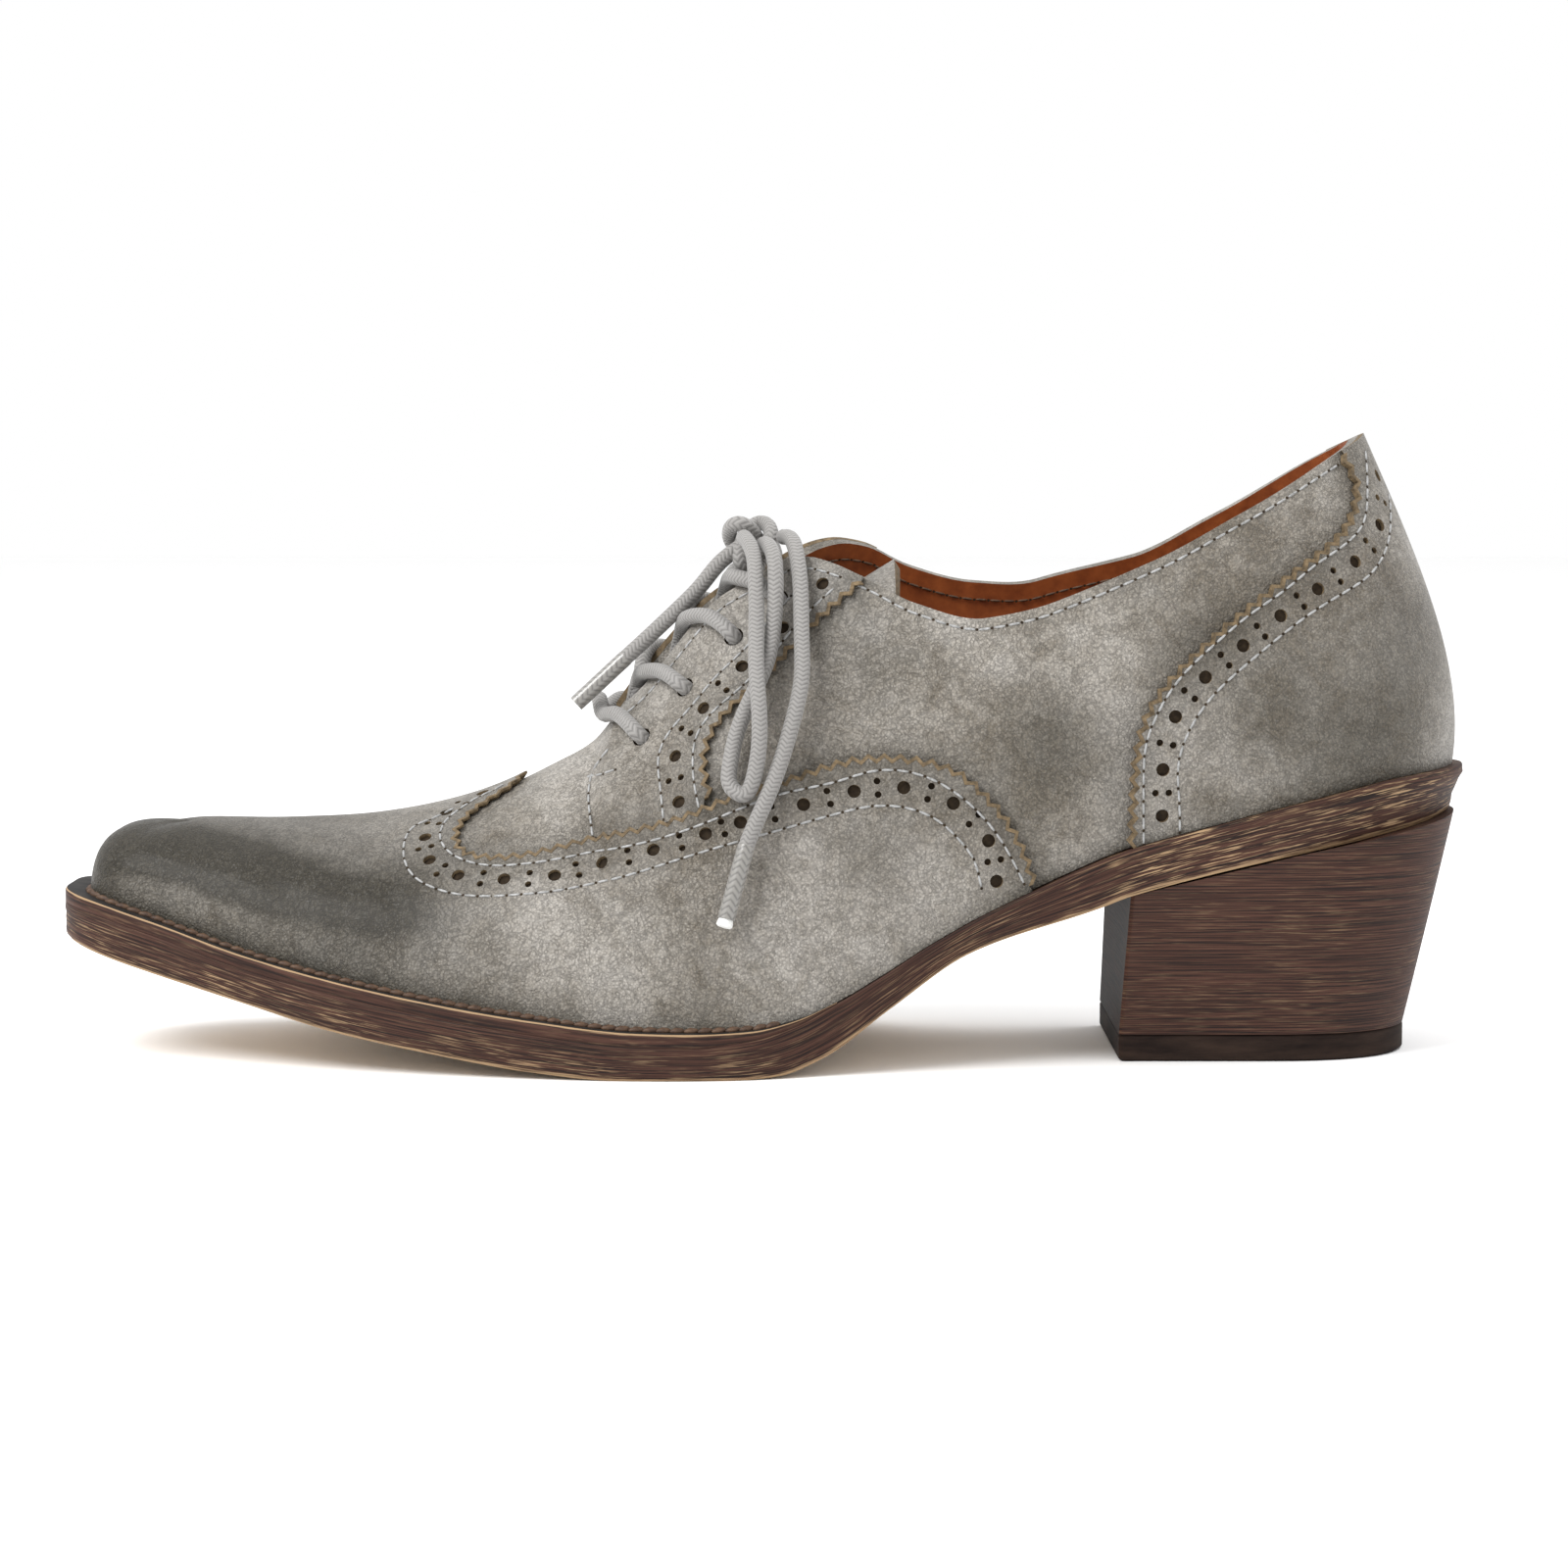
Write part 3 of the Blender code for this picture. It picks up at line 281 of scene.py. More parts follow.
def soleTop(x):
    place = np.interp(shareAt(x), column(featherRows, 1), column(featherRows, 0))
    welted = np.interp(place, weltFade, (1.0, 0.0))
    return featherHeight(x) - lace["clearance"] - welted * sole["weltThickness"]


def sideSign(side):
    return -1.0 if side == "outer" else 1.0


def featherLine(place, side):
    knots = column(featherRows, 0)
    x = atShare(flowing(knots, column(featherRows, 1), place, levelEnds=True))
    width = flowing(knots, column(featherRows, 2 if side == "outer" else 3), place)
    return x, sideSign(side) * last["ballWidth"] * width


def featherNormal(place, side):
    step = 0.002
    x0, y0 = featherLine(np.clip(place - step, 0.0, 1.0), side)
    x1, y1 = featherLine(np.clip(place + step, 0.0, 1.0), side)
    length = np.hypot(x1 - x0, y1 - y0)
    sign = sideSign(side)
    normalX, normalY = -sign * (y1 - y0) / length, sign * (x1 - x0) / length
    atEnd = (place <= 0.0) | (place >= 1.0)
    normalX = np.where(atEnd, np.where(place <= 0.0, -1.0, 1.0), normalX)
    return normalX, np.where(atEnd, 0.0, normalY)


def soleExtension(place):
    knots = column(extensionRows, 0)
    sizes = (sole["toe"], sole["ball"], sole["waist"], sole["seat"])
    return sum(size * steady(knots, column(extensionRows, 1 + i), place)
               for i, size in enumerate(sizes))


def offsetLine(place, side, distance):
    x, y = featherLine(place, side)
    normalX, normalY = featherNormal(place, side)
    return x + distance * normalX, y + distance * normalY


def topLine(place, side):
    knots = column(topRows, 0)
    isOuter = side == "outer"
    x = atShare(steady(knots, column(topRows, 1), place))
    width = steady(knots, column(topRows, 2 if isOuter else 3), place)
    height = steady(knots, column(topRows, 4 if isOuter else 5), place)
    baseX, _ = featherLine(place, side)
    return (x, sideSign(side) * last["ballWidth"] * width,
            featherHeight(baseX) + last["quarterHeight"] * height)


# A point of the upper's outer face: up runs from 0 at the sole to 1 at the top line
def wallPoint(place, up, side):
    place, up = np.broadcast_arrays(np.asarray(place, float), np.asarray(up, float))
    knots = column(wallRows, 0)
    facing = np.radians(flowing(knots, column(wallRows, 1), place))
    rise, bulge, reach, drop = (flowing(knots, column(wallRows, i), place)
                                for i in range(2, 6))
    baseX, baseY = featherLine(place, side)
    baseZ = featherHeight(baseX)
    topX, topY, topZ = topLine(place, side)
    tall = topZ - baseZ
    outX, outY = np.cos(facing), sideSign(side) * np.sin(facing)
    step = 0.004
    before = topLine(np.clip(place - step, 0.0, 1.0), side)
    after = topLine(np.clip(place + step, 0.0, 1.0), side)
    slope = (after[2] - before[2]) / (after[0] - before[0] + 1e-9)
    onRidge = np.where(place < throatPlace, np.interp(place, ridgeFade, (0.0, 1.0)), 0.0)
    width = last["ballWidth"]
    low = (baseX + bulge * width * outX, baseY + bulge * width * outY, baseZ + rise * tall)
    reachX = reach * width * outX
    high = (topX + reachX, topY + reach * width * outY,
            topZ - drop * tall + onRidge * slope * reachX)
    a, b, c, d = (1 - up) ** 3, 3 * up * (1 - up) ** 2, 3 * up ** 2 * (1 - up), up ** 3
    return np.stack([a * base + b * first + c * second + d * top
                     for base, first, second, top in
                     zip((baseX, baseY, baseZ), low, high, (topX, topY, topZ))], -1)


# Vectors made one long; a zero vector stays zero
def unit(vectors):
    return vectors / np.maximum(np.linalg.norm(vectors, axis=-1, keepdims=True), 1e-15)


# A point of the outer face with its outward direction
def surfaceFrame(place, up, side):
    step = 0.006
    point = wallPoint(place, up, side)
    along = wallPoint(place + step, up, side) - wallPoint(place - step, up, side)
    rise = wallPoint(place, up + step, side) - wallPoint(place, up - step, side)
    normal = unit(np.cross(along, rise))
    return point, normal if normal[2] > 0 else -normal


# Distance covered at each point of a line
def pathAlong(points):
    steps = np.linalg.norm(np.diff(np.asarray(points, float), axis=0), axis=1)
    return np.concatenate([[0.0], np.cumsum(steps)])


def smoothLine(points, step):
    points = np.array(points, float)
    path = pathAlong(points)
    at = np.linspace(0.0, path[-1], max(4, int(round(path[-1] / step)) + 1))
    return np.stack([flowing(path, points[:, k], at) for k in range(points.shape[1])], -1)


def lineLength(points):
    return float(pathAlong(points)[-1])


# Cosine and sine of even steps round a circle
def circle(count):
    angles = 2 * math.pi * np.arange(count) / count
    return np.stack([np.cos(angles), np.sin(angles)], -1)


# Quads of a grid whose points are listed row by row
def gridQuads(rows, columns, base=0):
    i, j = np.meshgrid(np.arange(rows - 1), np.arange(columns - 1), indexing="ij")
    a = (base + i * columns + j).ravel()
    return np.stack([a, a + columns, a + columns + 1, a + 1], -1)


# Faces of a solid whose rings of points are listed one after another, with both ends closed
def ringFaces(count, size, base=0):
    faces = []
    for ring in range(base, base + (count - 1) * size, size):
        for k in range(size):
            a, b = ring + k, ring + (k + 1) % size
            faces.append((a, b, b + size, a + size))
    end = base + (count - 1) * size
    return faces + [tuple(range(base + size - 1, base - 1, -1)), tuple(range(end, end + size))]


# A line's points or directions at given distances along it
def lineAt(at, path, values):
    return np.stack([np.interp(at, path, values[:, k]) for k in range(3)], -1)


# Rows in side view, as points (x, z)
def sidePoints(rows):
    x = atShare(column(rows, 0))
    return np.stack([x, featherHeight(x) + last["quarterHeight"] * column(rows, 1)], -1)


# An overlay's edge in side view, at even steps
def edgeLine(rows, step):
    return smoothLine(sidePoints(rows), step)


def newMaterial(name):
    material = bpy.data.materials.new(name)
    material.use_nodes = True
    return material, material.node_tree, material.node_tree.nodes["Principled BSDF"].inputs


# Each socket takes a plain value or the output of another node
def feed(tree, inputs, values):
    for name, value in values.items():
        if hasattr(value, "links"):
            tree.links.new(value, inputs[name])
        else:
            inputs[name].default_value = value


def addNode(tree, kind, values, output, **settings):
    node = tree.nodes.new("ShaderNode" + kind)
    for key, value in settings.items():
        setattr(node, key, value)
    feed(tree, node.inputs, values)
    return node.outputs[output]


def objectPlace(tree):
    return addNode(tree, "TexCoord", {}, "Object")


def mapPlace(tree):
    return addNode(tree, "UVMap", {}, "UV", uv_map="UVMap")


def painted(tree, name):
    return addNode(tree, "Attribute", {}, "Fac", attribute_name=name)


def noiseNode(tree, place, scale, detail, roughness, distortion=0.0):
    return addNode(tree, "TexNoise", {"Vector": place, "Scale": scale, "Detail": detail,
                                      "Roughness": roughness, "Distortion": distortion}, "Fac")


# Stops are pairs of position and colour, or position and grey value
def rampNode(tree, source, *stops):
    node = tree.nodes.new("ShaderNodeValToRGB")
    elements = node.color_ramp.elements
    while len(elements) < len(stops):
        elements.new(0.5)
    for element, (position, color) in zip(elements, stops):
        element.position = position
        element.color = (*color, 1.0) if np.ndim(color) else (color, color, color, 1.0)
    feed(tree, node.inputs, {"Fac": source})
    return node.outputs["Color"]


def mathNode(tree, operation, first, second, third=0.0):
    return addNode(tree, "Math", {0: first, 1: second, 2: third}, 0, operation=operation)


# Of the mixing node, inputs 6 and 7 and output 2 are the ones for colours
def mixColor(tree, factor, first, second, blend="MIX"):
    return addNode(tree, "Mix", {0: factor, 6: first, 7: second}, 2, data_type="RGBA",
                   blend_type=blend)


# Bumps laid over each other: height, then strength and depth in metres
def bumpNodes(tree, *layers):
    normal = None
    for height, (strength, depth) in layers:
        values = {"Height": height, "Strength": strength, "Distance": depth}
        if normal is not None:
            values["Normal"] = normal
        normal = addNode(tree, "Bump", values, "Normal")
    return normal


# Waxed grey leather: cloudy light grey with fine pores and cracks, darker where the painted
# attribute says: rubbed leather, with painted shade along the sole and the toe's crest
leatherLook = {
    "light": (0.428, 0.399, 0.360), "middle": (0.302, 0.275, 0.237),
    "deep": (0.170, 0.146, 0.114), "burnishAndShade": (0.026, 0.021, 0.011, 1.0),
    # light specks painted as glints of sheen on the grain
    "sheenGlint": (0.55, 0.54, 0.51, 1.0), "sheenGlintAmount": 0.13,
    "patchScale": 26.0, "mottleScale": 150.0, "grainScale": 2250.0, "veinScale": 420.0,
    "patchShare": 0.62, "cloudStops": (0.40, 0.50, 0.60), "rubRaggedness": 0.55,
    "poreShare": 0.85, "poreShade": 0.68, "veinShade": 0.70, "specular": 0.28,
    "roughness": (0.34, 0.52), "coat": 0.09, "coatRoughness": 0.24,
    # strength and depth
    "poreBump": (0.60, 0.00040), "crackBump": (0.60, 0.00024), "mottleBump": (0.35, 0.0006),
}


def leatherMaterial(name, look, tint=1.0):
    material, tree, surface = newMaterial(name)
    place = objectPlace(tree)
    patches = noiseNode(tree, place, look["patchScale"], 5.0, 0.62, 0.4)
    mottle = noiseNode(tree, place, look["mottleScale"], 6.0, 0.70, 0.6)
    grain = noiseNode(tree, place, look["grainScale"], 2.0, 0.5)
    veins = noiseNode(tree, place, look["veinScale"], 5.0, 0.6, 1.4)
    pores = addNode(tree, "TexVoronoi", {
        "Vector": place, "Scale": look["grainScale"] * look["poreShare"]}, "Distance")
    clouds = mathNode(tree, "MULTIPLY_ADD", patches, look["patchShare"],
                      mathNode(tree, "MULTIPLY", mottle, 1.0 - look["patchShare"]))
    shades = [tuple(c * tint for c in look[key]) for key in ("deep", "middle", "light")]
    color = rampNode(tree, clouds, *zip(look["cloudStops"], shades))
    # Painted highlights: light specks on the grain stand in for the glints of sheen on its tips
    sheenGlints = mathNode(tree, "MULTIPLY", rampNode(tree, grain, (0.52, 0.0), (0.70, 1.0)),
                      look["sheenGlintAmount"])
    color = mixColor(tree, sheenGlints, color, look["sheenGlint"])
    # The painted attribute, made ragged by the mottling, mixes in the dark colour: rubbed leather,
    # and painted shade low along the sole and in the band on the toe's crest
    ragged = mathNode(tree, "MULTIPLY_ADD", mottle, 0.9, -0.45)
    rub = mathNode(tree, "MULTIPLY_ADD", ragged, look["rubRaggedness"],
                   painted(tree, "burnishAndShade"))
    color = mixColor(tree, rampNode(tree, rub, (0.06, 0.0), (0.85, 0.95)), color,
                     look["burnishAndShade"])
    # Painted shade: the colour is darkened in the pores' hollows and along the cracks
    hollows = rampNode(tree, pores, (0.18, 1.0), (0.62, look["poreShade"]))
    cracks = rampNode(tree, veins, (0.45, 1.0), (0.50, 0.0), (0.55, 1.0))
    creased = rampNode(tree, cracks, (0.0, look["veinShade"]), (0.6, 1.0))
    for shade in (hollows, creased):
        color = mixColor(tree, 1.0, color, shade, "MULTIPLY")
    smooth, rough = look["roughness"]
    feed(tree, surface, {
        "Base Color": color, "Specular IOR Level": look["specular"],
        "Roughness": addNode(tree, "MapRange", {
            "Value": mottle, "From Min": 0.3, "From Max": 0.7, "To Min": smooth,
            "To Max": rough}, "Result"),
        "Coat Weight": look["coat"], "Coat Roughness": look["coatRoughness"],
        "Normal": bumpNodes(tree, (pores, look["poreBump"]), (cracks, look["crackBump"]),
                            (mottle, look["mottleBump"])),
    })
    return material


# A plain finish with soft mottling, fine bump and its own gloss
def plainMaterial(name, dark, light, scale, roughness, bump, coat=0.0, specular=0.4,
                  stretch=(1.0, 1.0, 1.0)):
    material, tree, surface = newMaterial(name)
    place = addNode(tree, "Mapping", {"Vector": objectPlace(tree), "Scale": stretch}, "Vector")
    noise = noiseNode(tree, place, scale, 5.0, 0.62)
    feed(tree, surface, {
        "Base Color": rampNode(tree, noise, (0.32, dark), (0.68, light)),
        "Roughness": roughness, "Coat Weight": coat, "Specular IOR Level": specular,
        "Normal": bumpNodes(tree, (noise, bump)),
    })
    return material


# Sole edge and heel: dark brown with fine lines that run level with the floor or along
# the sole, brushed tan in places. The lines read the UV map, in metres
woodLook = {
    "dark": (0.010, 0.004, 0.003), "middle": (0.034, 0.013, 0.008),
    "brown": (0.062, 0.026, 0.017), "tan": (0.34, 0.225, 0.125, 1.0),
    "lines": (38.0, 2900.0), "scratches": (130.0, 3200.0), "patches": (55.0, 130.0),
    "colorStops": (0.40, 0.50, 0.61), "roughness": 0.60, "specular": 0.22,
    "lineBump": (0.55, 0.00025), "scratchBump": (0.30, 0.00012),
}


def grainMaterial(name, look, tanAmount, shade=1.0):
    material, tree, surface = newMaterial(name)
    place = mapPlace(tree)
    lines, scratches, patches = (
        noiseNode(tree, addNode(tree, "Mapping", {"Vector": place, "Scale": (*look[key], 1.0)},
                                "Vector"), 1.0, detail, roughness)
        for key, detail, roughness in (("lines", 4.0, 0.60), ("scratches", 3.0, 0.55),
                                       ("patches", 4.0, 0.60)))
    shades = [tuple(c * shade for c in look[key]) for key in ("dark", "middle", "brown")]
    brown = rampNode(tree, lines, *zip(look["colorStops"], shades))
    tan = mathNode(tree, "MULTIPLY", rampNode(tree, scratches, (0.53, 0.0), (0.66, 1.0)),
                   rampNode(tree, patches, (0.38, 0.12), (0.64, 1.0)))
    for amount in (tanAmount, painted(tree, "rub")):
        tan = mathNode(tree, "MULTIPLY", tan, amount)
    rim = mathNode(tree, "MULTIPLY_ADD", scratches, 0.8, painted(tree, "wear"))
    tan = mathNode(tree, "MAXIMUM", tan, rampNode(tree, rim, (0.80, 0.0), (1.0, 1.0)))
    feed(tree, surface, {
        "Base Color": mixColor(tree, tan, brown, look["tan"]),
        "Roughness": look["roughness"], "Specular IOR Level": look["specular"],
        "Normal": bumpNodes(tree, (lines, look["lineBump"]), (scratches, look["scratchBump"])),
    })
    return material


# Round waxed cotton braid: slanted strands that meet in a herringbone, on the UV map
laceLook = {"dark": (0.120, 0.114, 0.108), "light": (0.250, 0.240, 0.229), "pitch": 0.0009,
            "strands": 8.0, "slant": 0.8, "fuzz": 1500.0, "roughness": 0.62,
            "bump": (0.75, 0.00016), "fuzzBump": (0.25, 0.0001), "coat": 0.0,
            "coatRoughness": 0.12, "sheen": 0.25}
agletLook = {**laceLook, "dark": (0.085, 0.080, 0.073), "light": (0.215, 0.205, 0.188),
             "pitch": 0.0013, "roughness": 0.40, "bump": (0.75, 0.00004), "coat": 0.9}


def laceMaterial(name, look):
    material, tree, surface = newMaterial(name)
    around, along = (addNode(tree, "SeparateXYZ", {"Vector": mapPlace(tree)}, axis)
                     for axis in "XY")
    around = mathNode(tree, "MULTIPLY", around, look["strands"])
    along = mathNode(tree, "MULTIPLY", along, 1.0 / look["pitch"])
    phase = mathNode(tree, "MULTIPLY_ADD", mathNode(tree, "PINGPONG", around, 1.0),
                     look["slant"], along)
    strand = mathNode(tree, "MULTIPLY", mathNode(tree, "PINGPONG", phase, 0.5), 2.0)
    fuzz = noiseNode(tree, objectPlace(tree), look["fuzz"], 3.0, 0.6)
    mixed = mathNode(tree, "MULTIPLY_ADD", strand, 0.75,
                     mathNode(tree, "MULTIPLY", fuzz, 0.35))
    feed(tree, surface, {
        "Base Color": rampNode(tree, mixed, (0.12, look["dark"]), (0.62, look["light"])),
        "Roughness": look["roughness"], "Sheen Weight": look["sheen"],
        "Coat Weight": look["coat"], "Coat Roughness": look["coatRoughness"],
        "Normal": bumpNodes(tree, (strand, look["bump"]), (fuzz, look["fuzzBump"])),
    })
    return material


materials = {
    "leather": leatherMaterial("waxedLeather", leatherLook),
    "overlay": leatherMaterial("waxedLeatherOverlay", leatherLook, 0.93),
    # name, dark and light colour, scale, roughness, strength and depth of the bump
    "rawEdge": plainMaterial("rawLeatherEdge", (0.050, 0.035, 0.018), (0.200, 0.140, 0.075),
                             900.0, 0.80, (0.5, 0.0002)),
    "lining": plainMaterial("liningLeather", (0.180, 0.040, 0.008), (0.315, 0.082, 0.019),
                            300.0, 0.48, (0.3, 0.0001), coat=0.1),
    # Painted shade: dark floors of the punched holes and dark discs at the needle holes
    "holeShade": plainMaterial("perforationShade", (0.018, 0.013, 0.009),
                                 (0.045, 0.032, 0.020), 800.0, 0.85, (0.3, 0.0001),
                                 specular=0.1),
    "thread": plainMaterial("stitchThread", (0.20, 0.20, 0.195), (0.42, 0.42, 0.42),
                            1400.0, 0.55, (0.3, 0.00008)),
    "welt": plainMaterial("weltTop", (0.008, 0.007, 0.007), (0.030, 0.026, 0.024),
                          260.0, 0.60, (0.3, 0.0002), specular=0.15),
    "weltThread": plainMaterial("weltStitch", (0.040, 0.020, 0.012), (0.120, 0.066, 0.036),
                                900.0, 0.60, (0.4, 0.0002)),
    "soleEdge": grainMaterial("soleEdgeGrain", woodLook, 1.0),
    "heelGrain": grainMaterial("heelGrain", woodLook, 0.18, 1.12),
    # Painted shade: a darker copy of the heel's finish for the breast, where the heel lies in shade
    "heelBreastShaded": grainMaterial("heelBreastShaded", {**woodLook, "specular": 0.06}, 0.05, 0.40),
    "tread": plainMaterial("treadRubber", (0.30, 0.21, 0.13), (0.46, 0.34, 0.21),
                           90.0, 0.75, (0.4, 0.0003)),
    "lift": plainMaterial("liftRubber", (0.009, 0.005, 0.004), (0.030, 0.018, 0.013),
                          500.0, 0.75, (0.4, 0.0002), specular=0.12,
                          stretch=(0.15, 0.15, 1.0)),
    "lace": laceMaterial("waxedCottonBraid", laceLook),
    "aglet": laceMaterial("agletSleeve", agletLook),
    "frayed": plainMaterial("frayedCotton", (0.66, 0.66, 0.64), (0.86, 0.86, 0.84),
                            1500.0, 0.9, (0.8, 0.0003)),
}
print("materials made:", len(materials))


# Merges doubled points and slivers where asked; a closed shape's faces turn outwards
def cleanMesh(item, doubles=0.0, slivers=0.0, outwards=True):
    shape = bmesh.new()
    shape.from_mesh(item.data)
    if doubles:
        bmesh.ops.remove_doubles(shape, verts=shape.verts, dist=doubles)
    if slivers:
        bmesh.ops.dissolve_degenerate(shape, edges=shape.edges, dist=slivers)
    if outwards:
        bmesh.ops.recalc_face_normals(shape, faces=shape.faces)
    shape.to_mesh(item.data)
    shape.free()


def setValues(mesh, name, values):
    layer = mesh.attributes.new(name, "FLOAT", "POINT")
    layer.data.foreach_set("value", np.asarray(values, np.float32))


# A mesh with its materials and, where given, the UV map and the wear of its points
def meshObject(name, points, faces, slots, faceSlots=None, uvs=None, wear=None, merge=None):
    mesh = bpy.data.meshes.new(name)
    mesh.from_pydata(np.asarray(points, float).tolist(), [], [tuple(f) for f in faces])
    if faceSlots is not None:
        mesh.polygons.foreach_set("material_index", np.asarray(faceSlots, np.int32))
    if uvs is not None:
        layer = mesh.uv_layers.new(name="UVMap")
        layer.data.foreach_set("uv", np.array(uvs, np.float32).ravel())
    if wear is not None:
        setValues(mesh, "wear", wear)
    for slot in slots:
        mesh.materials.append(materials[slot])
    item = bpy.data.objects.new(name, mesh)
    bpy.context.scene.collection.objects.link(item)
    if merge is not None:
        cleanMesh(item, merge, merge)
    return item


# The x, y and z of all points
def meshPoints(mesh):
    points = np.empty(len(mesh.vertices) * 3, np.float32)
    mesh.vertices.foreach_get("co", points)
    return points.reshape(-1, 3).astype(float).T


# How much tan shows: most on the heel's band, then in the lower half of the sole's side
tanRub = {
    "along": (-0.09, 0.02), "alongAmount": (1.1, 0.8), "low": (0.25, 0.65),
    "lowAmount": (0.22, 1.0), "band": (0.045, 0.075), "bandAmount": (0.2, 1.7),
}


def paintRub(item):
    x, _, z = meshPoints(item.data)
    low = 1.0 - np.clip((z - treadHeight(x)) / sole["edge"], 0.0, 1.0)
    side = (np.interp(x, tanRub["along"], tanRub["alongAmount"])
            * np.interp(low, tanRub["low"], tanRub["lowAmount"]))
    band = np.interp(x, tanRub["band"], tanRub["bandAmount"])
    setValues(item.data, "rub", np.maximum(side, band))
    return item


def pickOnly(item):
    bpy.ops.object.select_all(action="DESELECT")
    bpy.context.view_layer.objects.active = item
    item.select_set(True)


def applyModifiers(item):
    pickOnly(item)
    for modifier in list(item.modifiers):
        bpy.ops.object.modifier_apply(modifier=modifier.name)
    item.select_set(False)


def smoothByAngle(item, degrees):
    pickOnly(item)
    bpy.ops.object.shade_smooth_by_angle(angle=math.radians(degrees))
    item.select_set(False)


def finishPiece(item, slotName, *nodes):
    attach(item, "root")
    if nodes:
        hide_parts(*nodes)
    return item


def setCamera(settings):
    bpy.ops.object.camera_add(location=settings["place"],
                              rotation=(math.radians(90.0 - settings["pitch"]), 0.0, 0.0))
    camera = bpy.context.active_object
    camera.data.lens = settings["lens"]
    camera.data.sensor_width = settings["sensor"]
    bpy.context.scene.camera = camera


def setStudio(settings):
    bpy.ops.mesh.primitive_plane_add(size=settings["floorSize"], location=(0.0, 0.0, 0.0))
    floor = bpy.context.active_object
    floor.name = "studioFloor"
    material, tree, surface = newMaterial("studioFloor")
    feed(tree, surface, {"Base Color": settings["floorColor"],
                         "Roughness": settings["floorRoughness"],
                         "Specular IOR Level": settings["floorSpecular"]})
    floor.data.materials.append(material)
    world = bpy.data.worlds.new("studio")
    world.use_nodes = True
    feed(world.node_tree, world.node_tree.nodes["Background"].inputs, {
        "Color": settings["skyColor"], "Strength": settings["skyStrength"]})
    bpy.context.scene.world = world
    for place, size, watts in settings["lamps"]:
        bpy.ops.object.light_add(type="AREA", location=place)
        lamp = bpy.context.active_object
        lamp.data.size = size
        lamp.data.energy = watts
        aim = Vector(settings["aim"]) - Vector(place)
        lamp.rotation_euler = aim.to_track_quat("-Z", "Y").to_euler()
    bpy.context.scene.view_settings.view_transform = "Standard"


setCamera(cameraSettings)
setStudio(studio)
print("camera and studio set")


laceRadius = lace["diameter"] / 2
laceSettings = {
    "step": 0.0006, "sides": 14, "agletSide": 0.0150, "agletFront": 0.0135, "fray": 0.0016,
    "sleeve": 0.00008, "knotSpan": 0.00150, "knotRadius": 0.00152, "knotDrop": 0.0012,
    "knotTall": 1.28, "knotDeep": 1.9,
    # share of the fray's length, share of the lace's radius
    "tuft": ((-0.1, 0.86), (0.4, 0.98), (0.8, 1.02), (1.0, 0.75)),
}


# A round lace: rings round a smooth line, with a UV map, round first and then along
def laceTube(name, line, radius, slot="lace", closed=False):
    line = np.asarray(line, float)
    count, sides = len(line), laceSettings["sides"]
    tangents = np.gradient(line, axis=0)
    if closed:
        tangents = np.roll(line, -1, axis=0) - np.roll(line, 1, axis=0)
    tangents = unit(tangents)
    across = np.cross(tangents[0], (0.0, 0.0, 1.0))
    if np.linalg.norm(across) < 0.1:
        across = np.cross(tangents[0], (1.0, 0.0, 0.0))
    disc, points = circle(sides), []
    for place, tangent, size in zip(line, tangents, np.broadcast_to(radius, count)):
        across = unit(across - np.dot(across, tangent) * tangent)
        points += list(place + size * (disc @ np.stack([across, np.cross(tangent, across)])))
    faces, path, uvs = ringFaces(count, sides), pathAlong(line), []
    if closed:
        end = (count - 1) * sides
        faces[-2:] = [(end + k, end + (k + 1) % sides, (k + 1) % sides, k)
                      for k in range(sides)]
        path = np.append(path, path[-1] + np.linalg.norm(line[0] - line[-1]))
    for here, there in zip(path[:-1], path[1:]):
        for k in range(sides):
            u, w = k / sides, (k + 1) / sides
            uvs += [(u, here), (w, here), (w, there), (u, there)]
    if not closed:
        uvs += [(0.5, 0.0)] * sides + [(0.5, path[-1])] * sides
    item = meshObject(name, points, faces, (slot,), uvs=uvs, merge=0.0)
    smoothByAngle(item, 60.0)
    return item


# The sleeve at a lace's end, with a little frayed cotton past it
def agletFor(name, line, length, frayed):
    path = pathAlong(line)
    keep = line[path > path[-1] - length]
    sleeve = laceTube(name, keep, laceRadius + laceSettings["sleeve"], "aglet")
    if not frayed:
        return (sleeve,)
    shares, sizes = np.array(laceSettings["tuft"]).T
    outwards = unit(keep[-1] - keep[-2])
    tip = keep[-1] + laceSettings["fray"] * shares[:, None] * outwards
    return sleeve, laceTube(name + "_fray", tip, laceRadius * sizes, "frayed")


def freeLace(name, route, node, agletLength=0.0, frayed=False, extras=()):
    line = smoothLine(route, laceSettings["step"])
    pieces = list(extras)
    if agletLength:
        pieces += [finishPiece(piece, "lace_cotton")
                   for piece in agletFor(name + "_aglet", line, agletLength, frayed)]
    item = finishPiece(laceTube(name, line, laceRadius), "lace_cotton", node)
    lineLength(line)


# The knot is a tight three-lobed loop of the same lace
def tiedKnot():
    turns = np.linspace(0.0, 2 * math.pi, 121)[:-1]
    span = laceSettings["knotSpan"]
    x = (np.sin(turns) + 2 * np.sin(2 * turns)) * span
    z = (np.cos(turns) - 2 * np.cos(2 * turns)) * span * laceSettings["knotTall"]
    y = -np.sin(3 * turns) * span * laceSettings["knotDeep"]
    line = np.stack([x, y, z - laceSettings["knotDrop"]], -1) + np.array(knotCentre)
    return laceTube("laceKnot", line, laceSettings["knotRadius"], closed=True)


